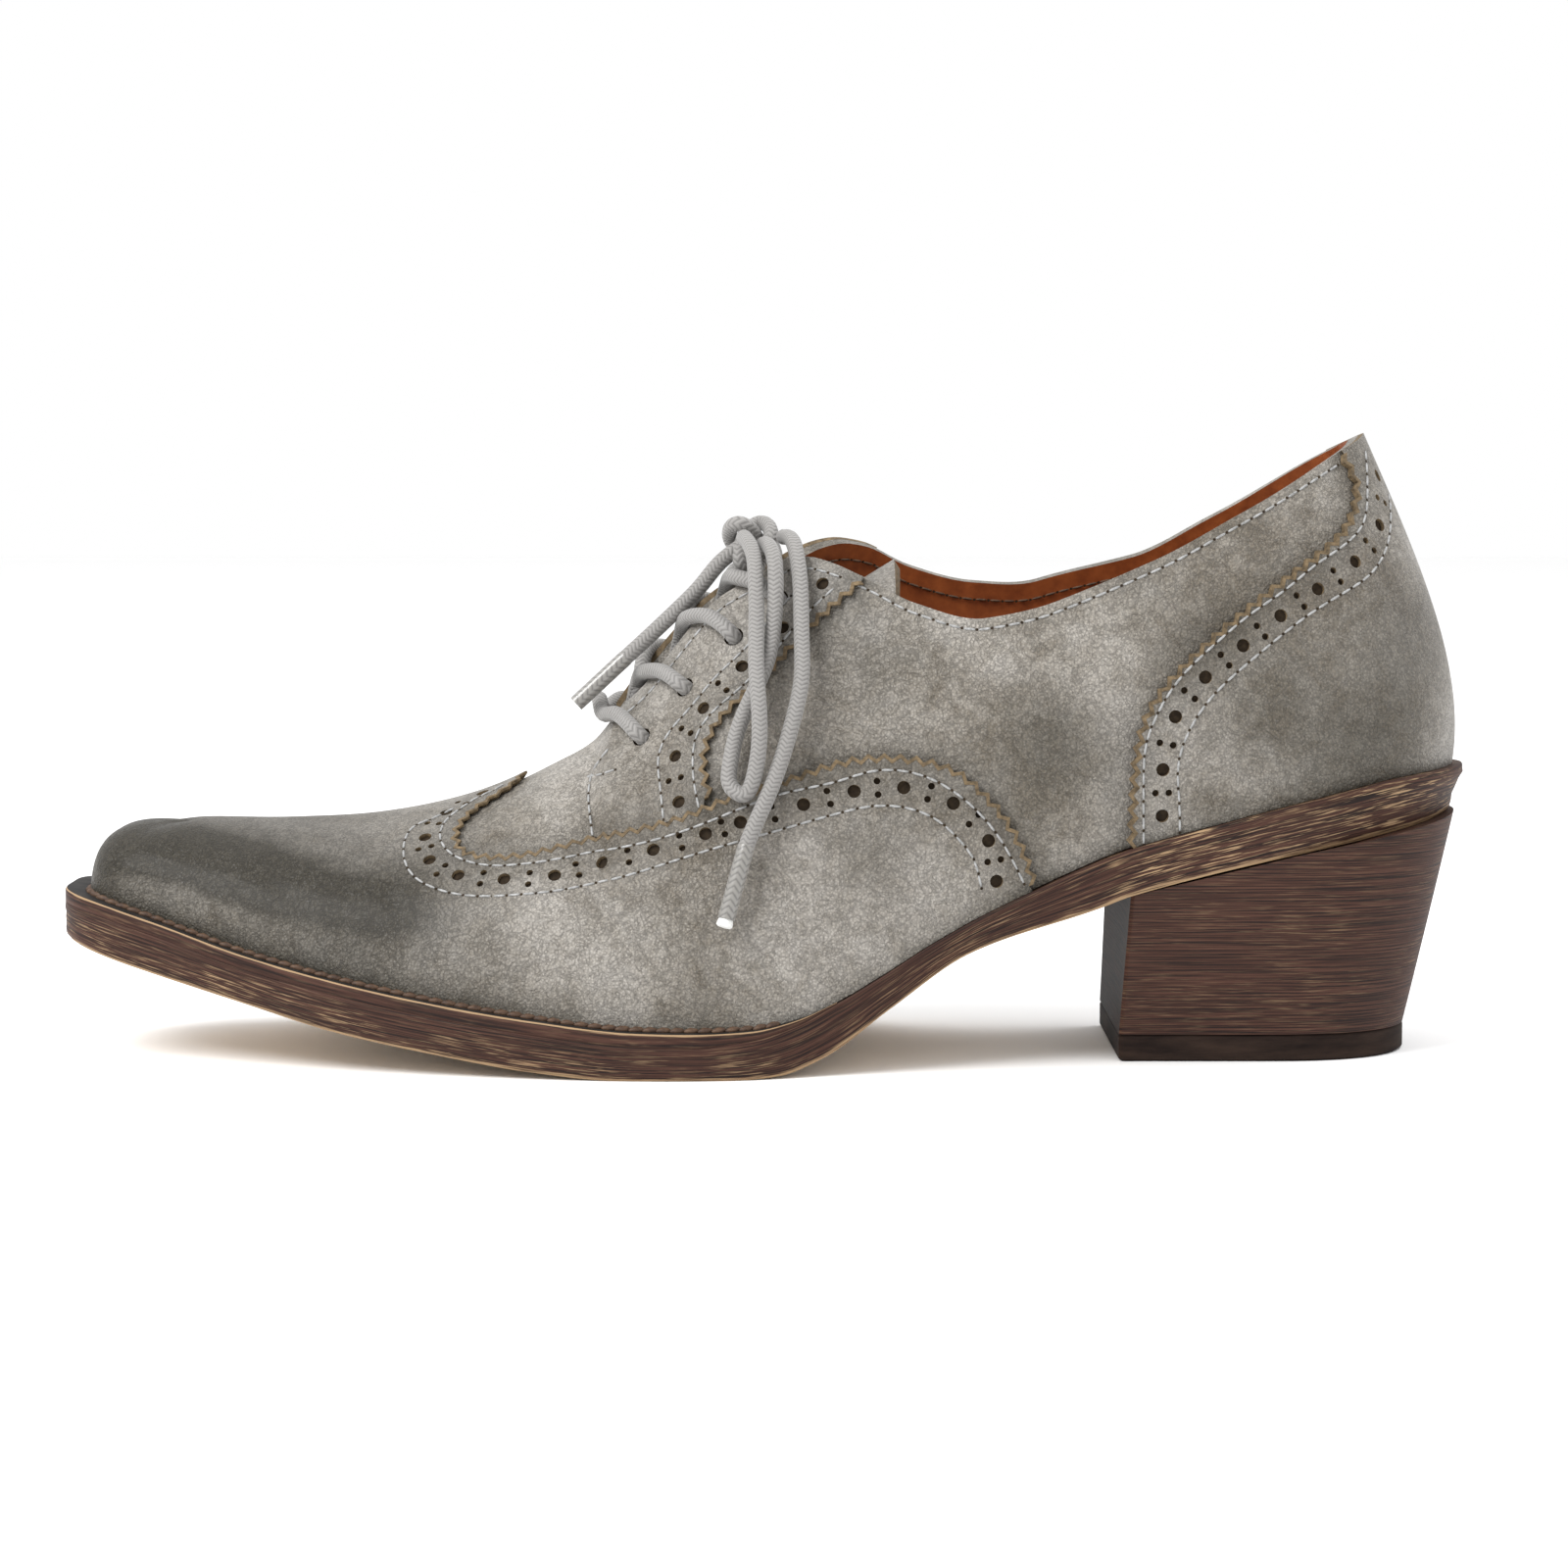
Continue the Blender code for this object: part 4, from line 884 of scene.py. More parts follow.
knot = tiedKnot()
finishPiece(knot, "lace_cotton", "lace_knot")
freeLace("laceLoopOuter", loopRoute, "lace_loop_outer", extras=(knot,))
freeLace("laceLoopInner", [(x, -innerLoopWidth * y, z) for x, y, z in loopRoute],
         "lace_loop_inner")
freeLace("laceEndSide", sideEndRoute, "lace_end_side", laceSettings["agletSide"],
         frayed=True)
freeLace("laceEndFront", frontEndRoute, "lace_end_front",
         laceSettings["agletFront"])
print("free laces made")


# Skin of the upper: a grid round the shoe and up the wall, moved outwards by a distance
skin = {"step": 0.0014, "levels": 46, "toeBlend": 0.0060, "toeSpan": 0.10,
        "doubles": 0.00001, "slivers": 0.00005}


def skinPlaces(start, stop):
    knots = np.linspace(0.0, 1.0, 400)
    x, y = featherLine(knots, "outer")
    path = np.concatenate([[0.0], np.cumsum(np.hypot(np.diff(x), np.diff(y)))])
    low, high = np.interp(start, knots, path), np.interp(stop, knots, path)
    count = max(4, int(round((high - low) / skin["step"])) + 1)
    places = np.interp(np.linspace(low, high, count), path, knots)
    places[0], places[-1] = start, stop
    if start < throatPlace < stop:
        places[np.argmin(abs(places - throatPlace))] = throatPlace
    return places


def skinGrid(places, ups, side, distance):
    grid = wallPoint(places[:, None], ups[None, :], side)
    along = np.gradient(grid, axis=0)
    rise = np.gradient(grid, axis=1)
    normal = np.cross(along, rise) * (1.0 if side == "outer" else -1.0)
    centred = ((places <= 0.0) | (places >= 1.0))[:, None] | (
        (places <= throatPlace)[:, None] & (ups >= 1.0)[None, :])
    normal[..., 1] = np.where(centred, 0.0, normal[..., 1])
    start, behind = (np.array(topLine(at, "outer"), float) for at in (0.0, skin["toeSpan"]))
    flat = unit(np.array((start[2] - behind[2], 0.0, behind[0] - start[0])))
    near = np.exp(-(np.linalg.norm(grid - start, axis=2) / skin["toeBlend"]) ** 2)[..., None]
    normal = unit(unit(normal) * (1 - near) + flat * near)
    return grid + normal * (distance + creaseDepth(grid)[..., None])


# Soft folds of the worn leather, in side view: start, end, depth and width in metres.
# Negative depths are troughs
creaseRows = (
    (-0.052, 0.030, -0.046, 0.014, -0.00035, 0.0030),
    (-0.042, 0.034, -0.037, 0.013, 0.00030, 0.0034),
    (-0.030, 0.033, -0.026, 0.013, -0.00040, 0.0034),
    (-0.017, 0.034, -0.014, 0.014, 0.00030, 0.0036),
    (-0.004, 0.036, -0.003, 0.016, -0.00035, 0.0038),
    (0.052, 0.075, 0.074, 0.060, -0.00030, 0.0050),
    (0.060, 0.062, 0.070, 0.052, 0.00025, 0.0050),
    (-0.098, 0.036, -0.088, 0.030, -0.00018, 0.0018),
    (-0.072, 0.032, -0.062, 0.024, -0.00018, 0.0020),
)


def distanceToPiece(x, z, x0, z0, x1, z1):
    spanX, spanZ = x1 - x0, z1 - z0
    t = np.clip(((x - x0) * spanX + (z - z0) * spanZ) / (spanX ** 2 + spanZ ** 2), 0.0, 1.0)
    return np.hypot(x - x0 - t * spanX, z - z0 - t * spanZ)


def distanceToLine(x, z, line):
    nearest = np.full(np.shape(x), 9.0)
    for (x0, z0), (x1, z1) in zip(line[:-1], line[1:]):
        nearest = np.minimum(nearest, distanceToPiece(x, z, x0, z0, x1, z1))
    return nearest


def creaseDepth(points):
    total = np.zeros(points.shape[:-1])
    for x0, z0, x1, z1, depth, width in creaseRows:
        away = distanceToPiece(points[..., 0], points[..., 2], x0, z0, x1, z1)
        total += depth * np.exp(-(away / width) ** 2)
    return total


def skinObject(name, start, stop, distance, slots):
    places, ups = skinPlaces(start, stop), np.linspace(0.0, 1.0, skin["levels"])
    points, faces = [], []
    for side in ("outer", "inner"):
        quads = gridQuads(len(places), len(ups), sum(len(p) for p in points))
        points.append(skinGrid(places, ups, side, distance).reshape(-1, 3))
        faces.append(quads if side == "outer" else quads[:, ::-1])
    item = meshObject(name, np.concatenate(points), np.concatenate(faces).tolist(), slots)
    cleanMesh(item, skin["doubles"], skin["slivers"], outwards=False)
    return item


def addWall(item, thickness, side, innerSlot, rimSlot):
    wall = item.modifiers.new("Wall", "SOLIDIFY")
    wall.thickness = thickness
    wall.offset = side
    wall.use_even_offset = False
    wall.use_quality_normals = True
    wall.material_offset = innerSlot
    wall.material_offset_rim = rimSlot


def sidePrism(name, outline, nearY, farY):
    count = len(outline)
    points = [(x, y, z) for y in (nearY, farY) for x, z in outline]
    faces = [tuple(range(count)), tuple(range(2 * count - 1, count - 1, -1))]
    faces += [(i, (i + 1) % count, count + (i + 1) % count, count + i) for i in range(count)]
    return meshObject(name, points, faces, ("rawEdge",), merge=0.0000001)


def cutPiece(item, cutter, operation):
    cut = item.modifiers.new("Cut", "BOOLEAN")
    cut.operation = operation
    cut.object = cutter
    cut.solver = "EXACT"
    cut.material_mode = "TRANSFER"
    applyModifiers(item)
    bpy.data.objects.remove(cutter, do_unlink=True)


# Where the leather is rubbed dark, with painted shade mixed in: the darkening low along the
# sole and the band along the toe's crest are partly rubbing and partly painted shade, the
# dark reflection that the toe's round shoulder and the foot of the wall show
burnishAndShadeRows = {
    # low along the sole: rubbed leather and painted shade next to the welt
    "soleLine": (0.0070, 0.85), "rearSoleLine": (0.0028, 0.40),
    "soleLineFade": (-0.085, -0.035),
    "toeStart": -0.052, "toeFull": -0.105, "toeAmount": 0.60,
    "toeRise": (0.006, 0.013), "toeRiseAmount": (0.45, 1.0),
    "aboveBand": (0.0010, 0.0055), "aboveBandAmount": (1.0, 0.45),
    # band along the toe's crest: burnish and painted shade for the dark reflection on its shoulder
    "toeBand": ((-0.1285, 0.0405), (-0.1253, 0.0413), (-0.1181, 0.0405), (-0.1111, 0.0396),
                (-0.1010, 0.0375), (-0.0910, 0.0342), (-0.0812, 0.0318), (-0.0700, 0.0300),
                (-0.0560, 0.0292), (-0.0420, 0.0290)),
    "toeBandWidth": (0.0052, 0.0105), "toeBandAmount": (0.95, 0.78, 0.42, 0.0),
    "toeBandFade": (-0.120, -0.092, -0.072, -0.046),
    "edgeWidth": 0.0050, "edgeAmount": 0.30,
    "patches": (
        # x, z, radius, amount
        (0.055, 0.062, 0.012, 0.50), (0.098, 0.070, 0.014, 0.30), (0.125, 0.082, 0.012, 0.38),
        (0.020, 0.044, 0.012, 0.28), (-0.020, 0.028, 0.014, 0.12), (0.072, 0.096, 0.008, 0.18),
        (-0.088, 0.052, 0.012, 0.34), (0.112, 0.058, 0.012, 0.32), (-0.050, 0.022, 0.012, 0.12),
        (0.012, 0.100, 0.006, 0.30), (0.0206, 0.079, 0.013, 0.36), (-0.070, 0.034, 0.012, 0.40),
        (0.064, 0.098, 0.007, 0.26), (0.122, 0.066, 0.010, 0.26), (0.082, 0.082, 0.009, 0.16),
    ),
}


def paintBurnishAndShade(item):
    x, _, z = meshPoints(item.data)
    rise = np.maximum(z - featherHeight(x), 0.0)
    rows = burnishAndShadeRows
    # Darker low along the sole: rubbing and painted shade
    front = np.interp(x, rows["soleLineFade"], (1.0, 0.0))
    amount = sum(share * strength * np.exp(-rise / reach) for share, (reach, strength) in
                 ((front, rows["soleLine"]), (1 - front, rows["rearSoleLine"])))
    toe = np.interp(x, (rows["toeFull"], rows["toeStart"]), (1.0, 0.0))
    bandX, bandZ = np.array(rows["toeBand"]).T
    high = (np.interp(rise, rows["toeRise"], rows["toeRiseAmount"])
            * np.interp(z - np.interp(x, bandX, bandZ), rows["aboveBand"],
                        rows["aboveBandAmount"]))
    amount = np.maximum(amount, rows["toeAmount"] * toe * high)
    # The band along the toe's crest: burnish and painted shade
    width = np.interp(x, rows["toeBandFade"][::3], rows["toeBandWidth"])
    band = np.exp(-(distanceToLine(x, z, rows["toeBand"]) / width) ** 2)
    amount += band * np.interp(x, rows["toeBandFade"], rows["toeBandAmount"])
    for line in edgeLines:
        near = distanceToLine(x, z, line)
        amount += rows["edgeAmount"] * np.exp(-(near / rows["edgeWidth"]) ** 2)
    for px, pz, radius, strength in rows["patches"]:
        amount += strength * np.exp(-((x - px) ** 2 + (z - pz) ** 2) / radius ** 2)
    setValues(item.data, "burnishAndShade", np.clip(amount, 0.0, 1.0))


edgeLines = [edgeLine(rows, 0.004) for rows in (wingEdgeRows, counterEdgeRows,
                                                eyestayRearRows)]


def upperShell():
    item = skinObject("upperShell", 0.0, 1.0, 0.0, ("leather", "lining"))
    addWall(item, upper["wall"], -1.0, 1, 0)
    applyModifiers(item)
    return item


shell = upperShell()
paintBurnishAndShade(shell)
smoothByAngle(shell, 50.0)
finishPiece(shell, "upper_leather", "upper")
print("upper shell made:", len(shell.data.polygons))


# Trimmings are set on the upper through lines drawn in side view
trim = {
    "pinkPitch": 0.0015, "pinkDepth": 0.0006,
    "stitchPitch": 0.0029, "stitchLength": 0.0023, "stitchRadius": 0.00024,
    "needleHole": 0.00030, "bigHole": 0.00130, "smallHole": 0.00068, "pairSpread": 0.0013,
    "holeDepth": 0.0009, "holeTop": 0.0012, "pairGap": 0.016, "eyelet": 0.0020,
    "collarInset": 0.0021, "liningInset": 0.0036,
    "edgeStep": 0.0005, "rowStep": 0.0004, "outlineStep": 0.0015, "markStep": 0.0005,
    "alongStep": 0.0004, "wideHole": 0.001, "holeSides": (14, 9),
    "threadLift": 0.30, "needleLift": 0.00004, "rimFrom": 0.80, "rimSteps": 41,
    # shift and lift of the bead on the raw edge
    "bead": ((-0.00012, -0.0010), (-0.00006, 0.0001), (0.0008, 0.00006), (0.0008, -0.0004)),
}
overlayTop = upper["overlayLift"] + upper["overlay"]
skinTree = {}
for side in ("outer", "inner"):
    places, ups = skinPlaces(0.0, 1.0), np.linspace(0.0, 1.0, skin["levels"])
    for layer, height in (("shell", 0.0), ("overlay", overlayTop)):
        grid = skinGrid(places, ups, side, height).reshape(-1, 3)
        skinTree[side, layer] = BVHTree.FromPolygons(
            grid.tolist(), gridQuads(len(places), len(ups)).tolist())


# Points and outward directions on the skin for a side-view line; None where it misses
def castLine(line, side, layer="overlay"):
    sign = sideSign(side)
    tree = skinTree[side, layer]
    found = []
    for x, z in line:
        place, normal, _, _ = tree.ray_cast((x, sign * 0.2, z), (0.0, -sign, 0.0))
        if place is None:
            found.append(None)
            continue
        if normal.dot((0.0, sign, 0.0)) < 0:
            normal = -normal
        found.append((np.array(place), np.array(normal)))
    return found


# Even stations along a line on the skin: place, direction along, outward, across
def stations(line, side, pitch, start=0.5, layer="overlay"):
    hits = [hit for hit in castLine(line, side, layer) if hit is not None]
    points, normals = (np.array(part) for part in zip(*hits))
    path = pathAlong(points)
    keep = np.concatenate([[True], np.diff(path) > 1e-6])
    points, normals, path = points[keep], normals[keep], path[keep]
    at, step = np.arange(start * pitch, path[-1], pitch), trim["alongStep"]
    outward = unit(lineAt(at, path, normals))
    along = lineAt(at + step, path, points) - lineAt(at - step, path, points)
    along = unit(along - np.sum(along * outward, axis=1)[:, None] * outward)
    return lineAt(at, path, points), along, outward, np.cross(outward, along)


# Pinking: alternate stations step to either side of the edge
def pinkedEdge(rows, side):
    place, _, outward, across = stations(edgeLine(rows, trim["edgeStep"]), side,
                                         trim["pinkPitch"])
    across = -sideSign(side) * across
    step = np.where(np.arange(len(place)) % 2 == 0, 1.0, -1.0)[:, None] * trim["pinkDepth"]
    return place + step * across, outward, across


# Side-view outline with pinking; beyond the skin it follows the plain edge
def pinkedLine(rows):
    line = edgeLine(rows, trim["edgeStep"])
    found = [k for k, hit in enumerate(castLine(line, "outer")) if hit is not None]
    teeth = pinkedEdge(rows, "outer")[0][:, ::2]
    return [tuple(p) for part in (line[:found[0]:3], teeth, line[found[-1] + 1::3])
            for p in part]


# The raw edge that shows along the pinking: a flat bead that follows the teeth
def pinkedTrim(name, rows):
    points, faces = [], []
    for side in ("outer", "inner"):
        edge, outward, across = pinkedEdge(rows, side)
        faces += ringFaces(len(edge), len(trim["bead"]), len(points))
        points += [p + shift * b + lift * n for p, n, b in zip(edge, outward, across)
                   for shift, lift in trim["bead"]]
    item = meshObject(name, points, faces, ("rawEdge",), merge=0.0000001)
    return finishPiece(item, "overlay_leather")


# One stitch, a short rounded thread, set at every station of each row
def stitchRows(name, rowSets, slotName, thread="thread"):
    around, profile = 6, ((-1.0, 0.0), (-0.84, 0.72), (-0.45, 1.0), (0.45, 1.0),
                          (0.84, 0.72), (1.0, 0.0))
    half, radius = trim["stitchLength"] / 2, trim["stitchRadius"]
    disc = circle(around)
    base = np.array([(half * reach, radius * size * c, radius * size * s)
                     for reach, size in profile for c, s in (disc if size else disc[:1])])
    baseFaces = []
    for k in range(around):
        m = (k + 1) % around
        baseFaces.append((0, 1 + m, 1 + k))
        for ring in range(len(profile) - 3):
            a = 1 + ring * around
            baseFaces.append((a + k, a + m, a + around + m, a + around + k))
        end = len(base) - 1
        baseFaces.append((end, end - around + k, end - around + m))
    points, faces, faceSlots = [], [], []
    for place, along, outward, across, lift in rowSets:
        for p, t, n, b in zip(place, along, outward, across):
            start = len(points)
            faces += [tuple(start + v for v in face) for face in baseFaces]
            faces.append(tuple(range(start + len(base), start + len(base) + around)))
            faceSlots += [0] * len(baseFaces) + [1]
            points += list(p + n * (lift + radius * trim["threadLift"]) + base @ np.stack([t, b, n]))
            # A dark disc beside each stitch paints the shade in its needle hole
            hole = p + n * (lift + trim["needleLift"]) + t * trim["stitchPitch"] / 2
            points += list(hole + trim["needleHole"] * (disc @ np.stack([t, b])))
    item = meshObject(name, points, faces, (thread, "holeShade"), faceSlots)
    for polygon in item.data.polygons:
        polygon.use_smooth = polygon.material_index == 0
    return finishPiece(item, slotName)


# Punches: one small drum per hole, dark at both ends, tan round its wall. The dark end left
# at the floor of each hole is painted shade
def punchCutter(name, centres):
    points, faces, faceSlots = [], [], []
    for p, n, radius in centres:
        count = trim["holeSides"][0 if radius > trim["wideHole"] else 1]
        first = unit(np.cross(n, (0.0, 0.3, 1.0)))
        disc = radius * (circle(count) @ np.stack([first, np.cross(n, first)]))
        faces += ringFaces(2, count, len(points))
        faceSlots += [0] * count + [1, 1]
        for depth in (-trim["holeDepth"], trim["holeTop"]):
            points += list(p + n * depth + disc)
    return meshObject(name, points, faces, ("rawEdge", "holeShade"), faceSlots, merge=0.0)


# Big holes at the marks, and between each two a pair across the band
def bandHoles(marks, sides=("outer", "inner")):
    centres = []
    for side in sides:
        place, _, outward, across = stations(edgeLine(marks, trim["rowStep"]), side,
                                             trim["markStep"], 0.0)
        path = pathAlong(place)
        near = [np.argmin(np.hypot(place[:, 0] - x, place[:, 2] - z))
                for x, z in sidePoints(marks)]
        centres += [(place[k], outward[k], trim["bigHole"]) for k in near]
        for here, there in zip(path[near[:-1]], path[near[1:]]):
            if there - here > trim["pairGap"]:
                continue
            k = np.argmin(abs(path - (here + there) / 2))
            centres += [(place[k] + way * trim["pairSpread"] * across[k], outward[k],
                         trim["smallHole"]) for way in (-1.0, 1.0)]
    return centres


# Plain holes in the facings for the laces
def eyeletHoles(side):
    frames = [surfaceFrame(row[0], row[1], side) for row in eyeletRows]
    return [(point + overlayTop * normal, normal, trim["eyelet"]) for point, normal in frames]


def sideRows(rows):
    return [(*stations(edgeLine(rows, trim["rowStep"]), side, trim["stitchPitch"]), 0.0)
            for side in ("outer", "inner")]


# Rows and holes of the brogue bands: x share, height share
wingStitchRows = (
    ((0.3015, 0.6150), (0.294, 0.594), (0.281, 0.5620), (0.269, 0.524), (0.2610, 0.492),
     (0.258, 0.456), (0.264, 0.423), (0.277, 0.406), (0.291, 0.404), (0.317, 0.422),
     (0.344, 0.452), (0.370, 0.486), (0.411, 0.534), (0.452, 0.593), (0.508, 0.656),
     (0.547, 0.630), (0.571, 0.603), (0.602, 0.520), (0.627, 0.415), (0.649, 0.292),
     (0.664, 0.183), (0.679, 0.040)),
    ((0.266, 0.527), (0.249, 0.485), (0.234, 0.440), (0.232, 0.414), (0.238, 0.347),
     (0.255, 0.318), (0.279, 0.314), (0.318, 0.342), (0.354, 0.379), (0.400, 0.442),
     (0.452, 0.514), (0.508, 0.556), (0.549, 0.536), (0.570, 0.505), (0.599, 0.425),
     (0.617, 0.350), (0.633, 0.256), (0.643, 0.179), (0.648, 0.102)),
)
wingHoleMarks = (
    (0.285, 0.579), (0.260, 0.512), (0.247, 0.441), (0.252, 0.387), (0.275, 0.364),
    (0.308, 0.378), (0.344, 0.410),
    (0.379, 0.465), (0.416, 0.514), (0.452, 0.563), (0.478, 0.594), (0.522, 0.608),
    (0.558, 0.577), (0.594, 0.500), (0.629, 0.371), (0.654, 0.210), (0.660, 0.077),
)
counterStitchRows = (
    ((0.934, 0.974), (0.933, 0.849), (0.927, 0.758), (0.915, 0.721), (0.890, 0.681),
     (0.869, 0.637), (0.840, 0.588), (0.815, 0.532), (0.789, 0.455), (0.775, 0.379),
     (0.767, 0.300), (0.765, 0.196), (0.766, 0.001)),
    ((0.953, 0.830), (0.951, 0.740), (0.945, 0.668), (0.932, 0.612), (0.911, 0.579),
     (0.886, 0.546), (0.860, 0.497), (0.836, 0.444), (0.813, 0.380), (0.797, 0.297),
     (0.790, 0.207), (0.791, 0.098), (0.792, 0.001)),
)
counterHoleMarks = (
    (0.944, 0.889), (0.942, 0.746), (0.921, 0.660), (0.892, 0.611), (0.863, 0.561),
    (0.836, 0.506), (0.809, 0.445), (0.787, 0.349), (0.779, 0.208), (0.779, 0.065),
)
eyestayStitchRows = (
    ((0.545, 1.190), (0.525, 1.151), (0.496, 1.046), (0.474, 0.964), (0.455, 0.897),
     (0.445, 0.829), (0.443, 0.768), (0.444, 0.708), (0.448, 0.629)),
    ((0.521, 1.237), (0.508, 1.197), (0.478, 1.077), (0.460, 1.009), (0.439, 0.908),
     (0.424, 0.832), (0.418, 0.770), (0.419, 0.702), (0.422, 0.607)),
)
eyestayHoleMarks = ((0.536, 1.218), (0.507, 1.130), (0.478, 1.035), (0.450, 0.916),
                    (0.430, 0.776), (0.433, 0.648))
seamStitchRows = (
    ((0.381, 0.778), (0.374, 0.738), (0.369, 0.701), (0.3665, 0.642), (0.3685, 0.579),
     (0.371, 0.526)),
    ((0.363, 0.680), (0.374, 0.699), (0.388, 0.727)),
)


# Overlays: the same skin a little further out, cut to the edge lines in side view
def overlayPiece(name, start, stop, outline, nearY, farY, node, holes):
    item = skinObject(name, start, stop, upper["overlayLift"], ("overlay", "rawEdge"))
    addWall(item, upper["overlay"], 1.0, 0, 1)
    applyModifiers(item)
    cutPiece(item, sidePrism(name + "Cutter", outline, nearY, farY), "INTERSECT")
    cutPiece(item, punchCutter(name + "Punch", holes), "DIFFERENCE")
    paintBurnishAndShade(item)
    smoothByAngle(item, 40.0)
    return finishPiece(item, "overlay_leather", node)


frontX, backX = toeX - 2 * sole["toe"], atShare(1.0) + 3 * sole["seat"]
floorZ, roofZ = -0.010, featherHeight(backX) + 1.5 * last["quarterHeight"]
cutterReach, middleGap = 0.09, 0.0002


# From a pinked edge to the shoe's end
def endOutline(rows, endX):
    line = pinkedLine(rows)
    return ([(endX, floorZ), (endX, roofZ), (line[0][0], roofZ)] + line
            + [(line[-1][0], floorZ)])


overlayPiece("wingCap", 0.0, 0.72, endOutline(wingEdgeRows, frontX), -cutterReach,
             cutterReach, "wing_cap", bandHoles(wingHoleMarks))
overlayPiece("heelCounter", 0.70, 1.0, endOutline(counterEdgeRows, backX), -cutterReach,
             cutterReach, "counter", bandHoles(counterHoleMarks))
rearLine = pinkedLine(eyestayRearRows)
frontLine = [tuple(p) for p in edgeLine(eyestayFrontRows, trim["outlineStep"])]
wingTop = [(x, z + 0.0004) for x, z in edgeLine(wingEdgeRows, trim["outlineStep"])
           if frontLine[0][0] < x < rearLine[-1][0] and z < frontLine[-1][1]]
eyestayOutline = (rearLine + wingTop[::-1] + frontLine
                  + [(frontLine[-1][0], roofZ), (rearLine[0][0], roofZ)])
for side, nearY, farY in (("outer", -cutterReach, -middleGap),
                          ("inner", middleGap, cutterReach)):
    overlayPiece("eyestay" + side.capitalize(), 0.34, 0.66, eyestayOutline, nearY, farY,
                 "eyestay_" + side, bandHoles(eyestayHoleMarks, (side,)) + eyeletHoles(side))
print("overlays made")

pinkedTrim("wingPinking", wingEdgeRows)
pinkedTrim("counterPinking", counterEdgeRows)
pinkedTrim("eyestayPinking", eyestayRearRows)


# Stations a set distance below the top line, for the rows round the collar and facings
def rimStations(start, stop, side, inset, lift, layer):
    ups, line = np.linspace(trim["rimFrom"], 1.0, trim["rimSteps"]), []
    for place in skinPlaces(start, stop):
        strip = wallPoint(place, ups, side)[::-1]
        down = pathAlong(strip)
        line.append([np.interp(inset, down, strip[:, k]) for k in (0, 2)])
    return (*stations(line, side, trim["stitchPitch"], layer=layer), lift)


for name, rowSet in (("wingStitching", wingStitchRows), ("counterStitching", counterStitchRows),
                     ("eyestayStitching", eyestayStitchRows + seamStitchRows)):
    stitchRows(name, [row for rows in rowSet for row in sideRows(rows)], "overlay_leather")

rimRows = (
    # name, start and stop, inset, lift, layer, slot, thread
    ("collarStitching", 0.592, 0.935, trim["collarInset"], 0.0, "shell", "upper_leather",
     "thread"),
    ("facingStitching", 0.412, 0.582, trim["collarInset"], 0.0, "overlay", "overlay_leather",
     "thread"),
    ("liningStitching", 0.545, 0.985, trim["liningInset"],
     -upper["wall"] - 2 * trim["stitchRadius"], "shell", "lining_leather", "weltThread"),
)
for name, start, stop, inset, lift, layer, slotName, thread in rimRows:
    stitchRows(name, [rimStations(start, stop, side, inset, lift, layer)
                      for side in ("outer", "inner")], slotName, thread)
print("pinking and stitches made")


# Plates of the sole: rings round the feather line, closed by strips across
solePlaces = np.concatenate([np.linspace(0.0, 0.085, 25), np.linspace(0.085, 0.900, 170)[1:],
                             np.linspace(0.900, 1.0, 29)[1:]])


def planRing(places, distance, height):
    ring = []
    for side in ("outer", "inner"):
        x, y = offsetLine(places, side, distance)
        y = np.where((places <= 0.0) | (places >= 1.0), 0.0, y)
        ring.append(np.stack([x, y, height(x)], -1))
    return np.concatenate(ring)


def ringPlate(name, rings, slots, capSlots, levels, wear=None):
    count = len(rings[0]) // 2
    size = 2 * count
    points = np.concatenate(rings)
    along = np.concatenate([pathAlong(part[:, :2]) for ring in rings
                            for part in (ring[:count], ring[count:])])
    faces, faceSlots, uvs = [], [], []
    for ring in range(len(rings) - 1):
        for i in range(count - 1):
            for start, turn in ((0, -1), (count, 1)):
                a = ring * size + start + i
                quad = (a, a + 1, a + 1 + size, a + size)[::turn]
                faces.append(quad)
                faceSlots.append(0)
                uvs += [(along[v], levels[v // size]) for v in quad]
    for cap, slot, turn in ((0, capSlots[0], 1), (len(rings) - 1, capSlots[1], -1)):
        for i in range(count - 1):
            a, b = cap * size + i, cap * size + count + i
            quad = (a, a + 1, b + 1, b)[::turn]
            faces.append(quad)
            faceSlots.append(slot)
            uvs += [points[v, :2] for v in quad]
    item = meshObject(name, points, faces, slots, faceSlots, uvs,
                      None if wear is None else np.repeat(wear, size), 0.000004)
    smoothByAngle(item, 42.0)
    return item


# Side of the outsole: level from the top edge down, reach beyond the sole's edge, wear
soleProfile = (
    (0.000, -0.0002, 0.0), (0.035, 0.0000, 0.0), (0.090, 0.0000, 0.0), (0.200, 0.0001, 0.0),
    (0.330, -0.0001, 0.0), (0.500, 0.0000, 0.0), (0.670, -0.0001, 0.1), (0.820, 0.0000, 0.2),
    (0.930, -0.0001, 0.5), (1.000, -0.0006, 0.7),
)


def soleLayers():
    reach = soleExtension(solePlaces)
    seat = np.interp(solePlaces, (0.78, 0.90), (0.0, 1.0))
    rings, levels, wear = [], [], []
    for level, extra, rub in soleProfile:
        lean = -sole["seatLean"] * seat * np.interp(level, (0.2, 0.62, 1.0), (0.0, 0.75, 1.0))

        def height(x, level=level):
            top, low = soleTop(x), treadHeight(x)
            return top + (low - top) * level

        rings.append(planRing(solePlaces, reach + extra + lean, height))
        levels.append(-level * 0.008)
        wear.append(rub)
    return ringPlate("outsoleBody", rings, ("soleEdge", "tread"), (0, 1), levels, wear)


finishPiece(paintRub(soleLayers()), "sole_leather", "outsole")


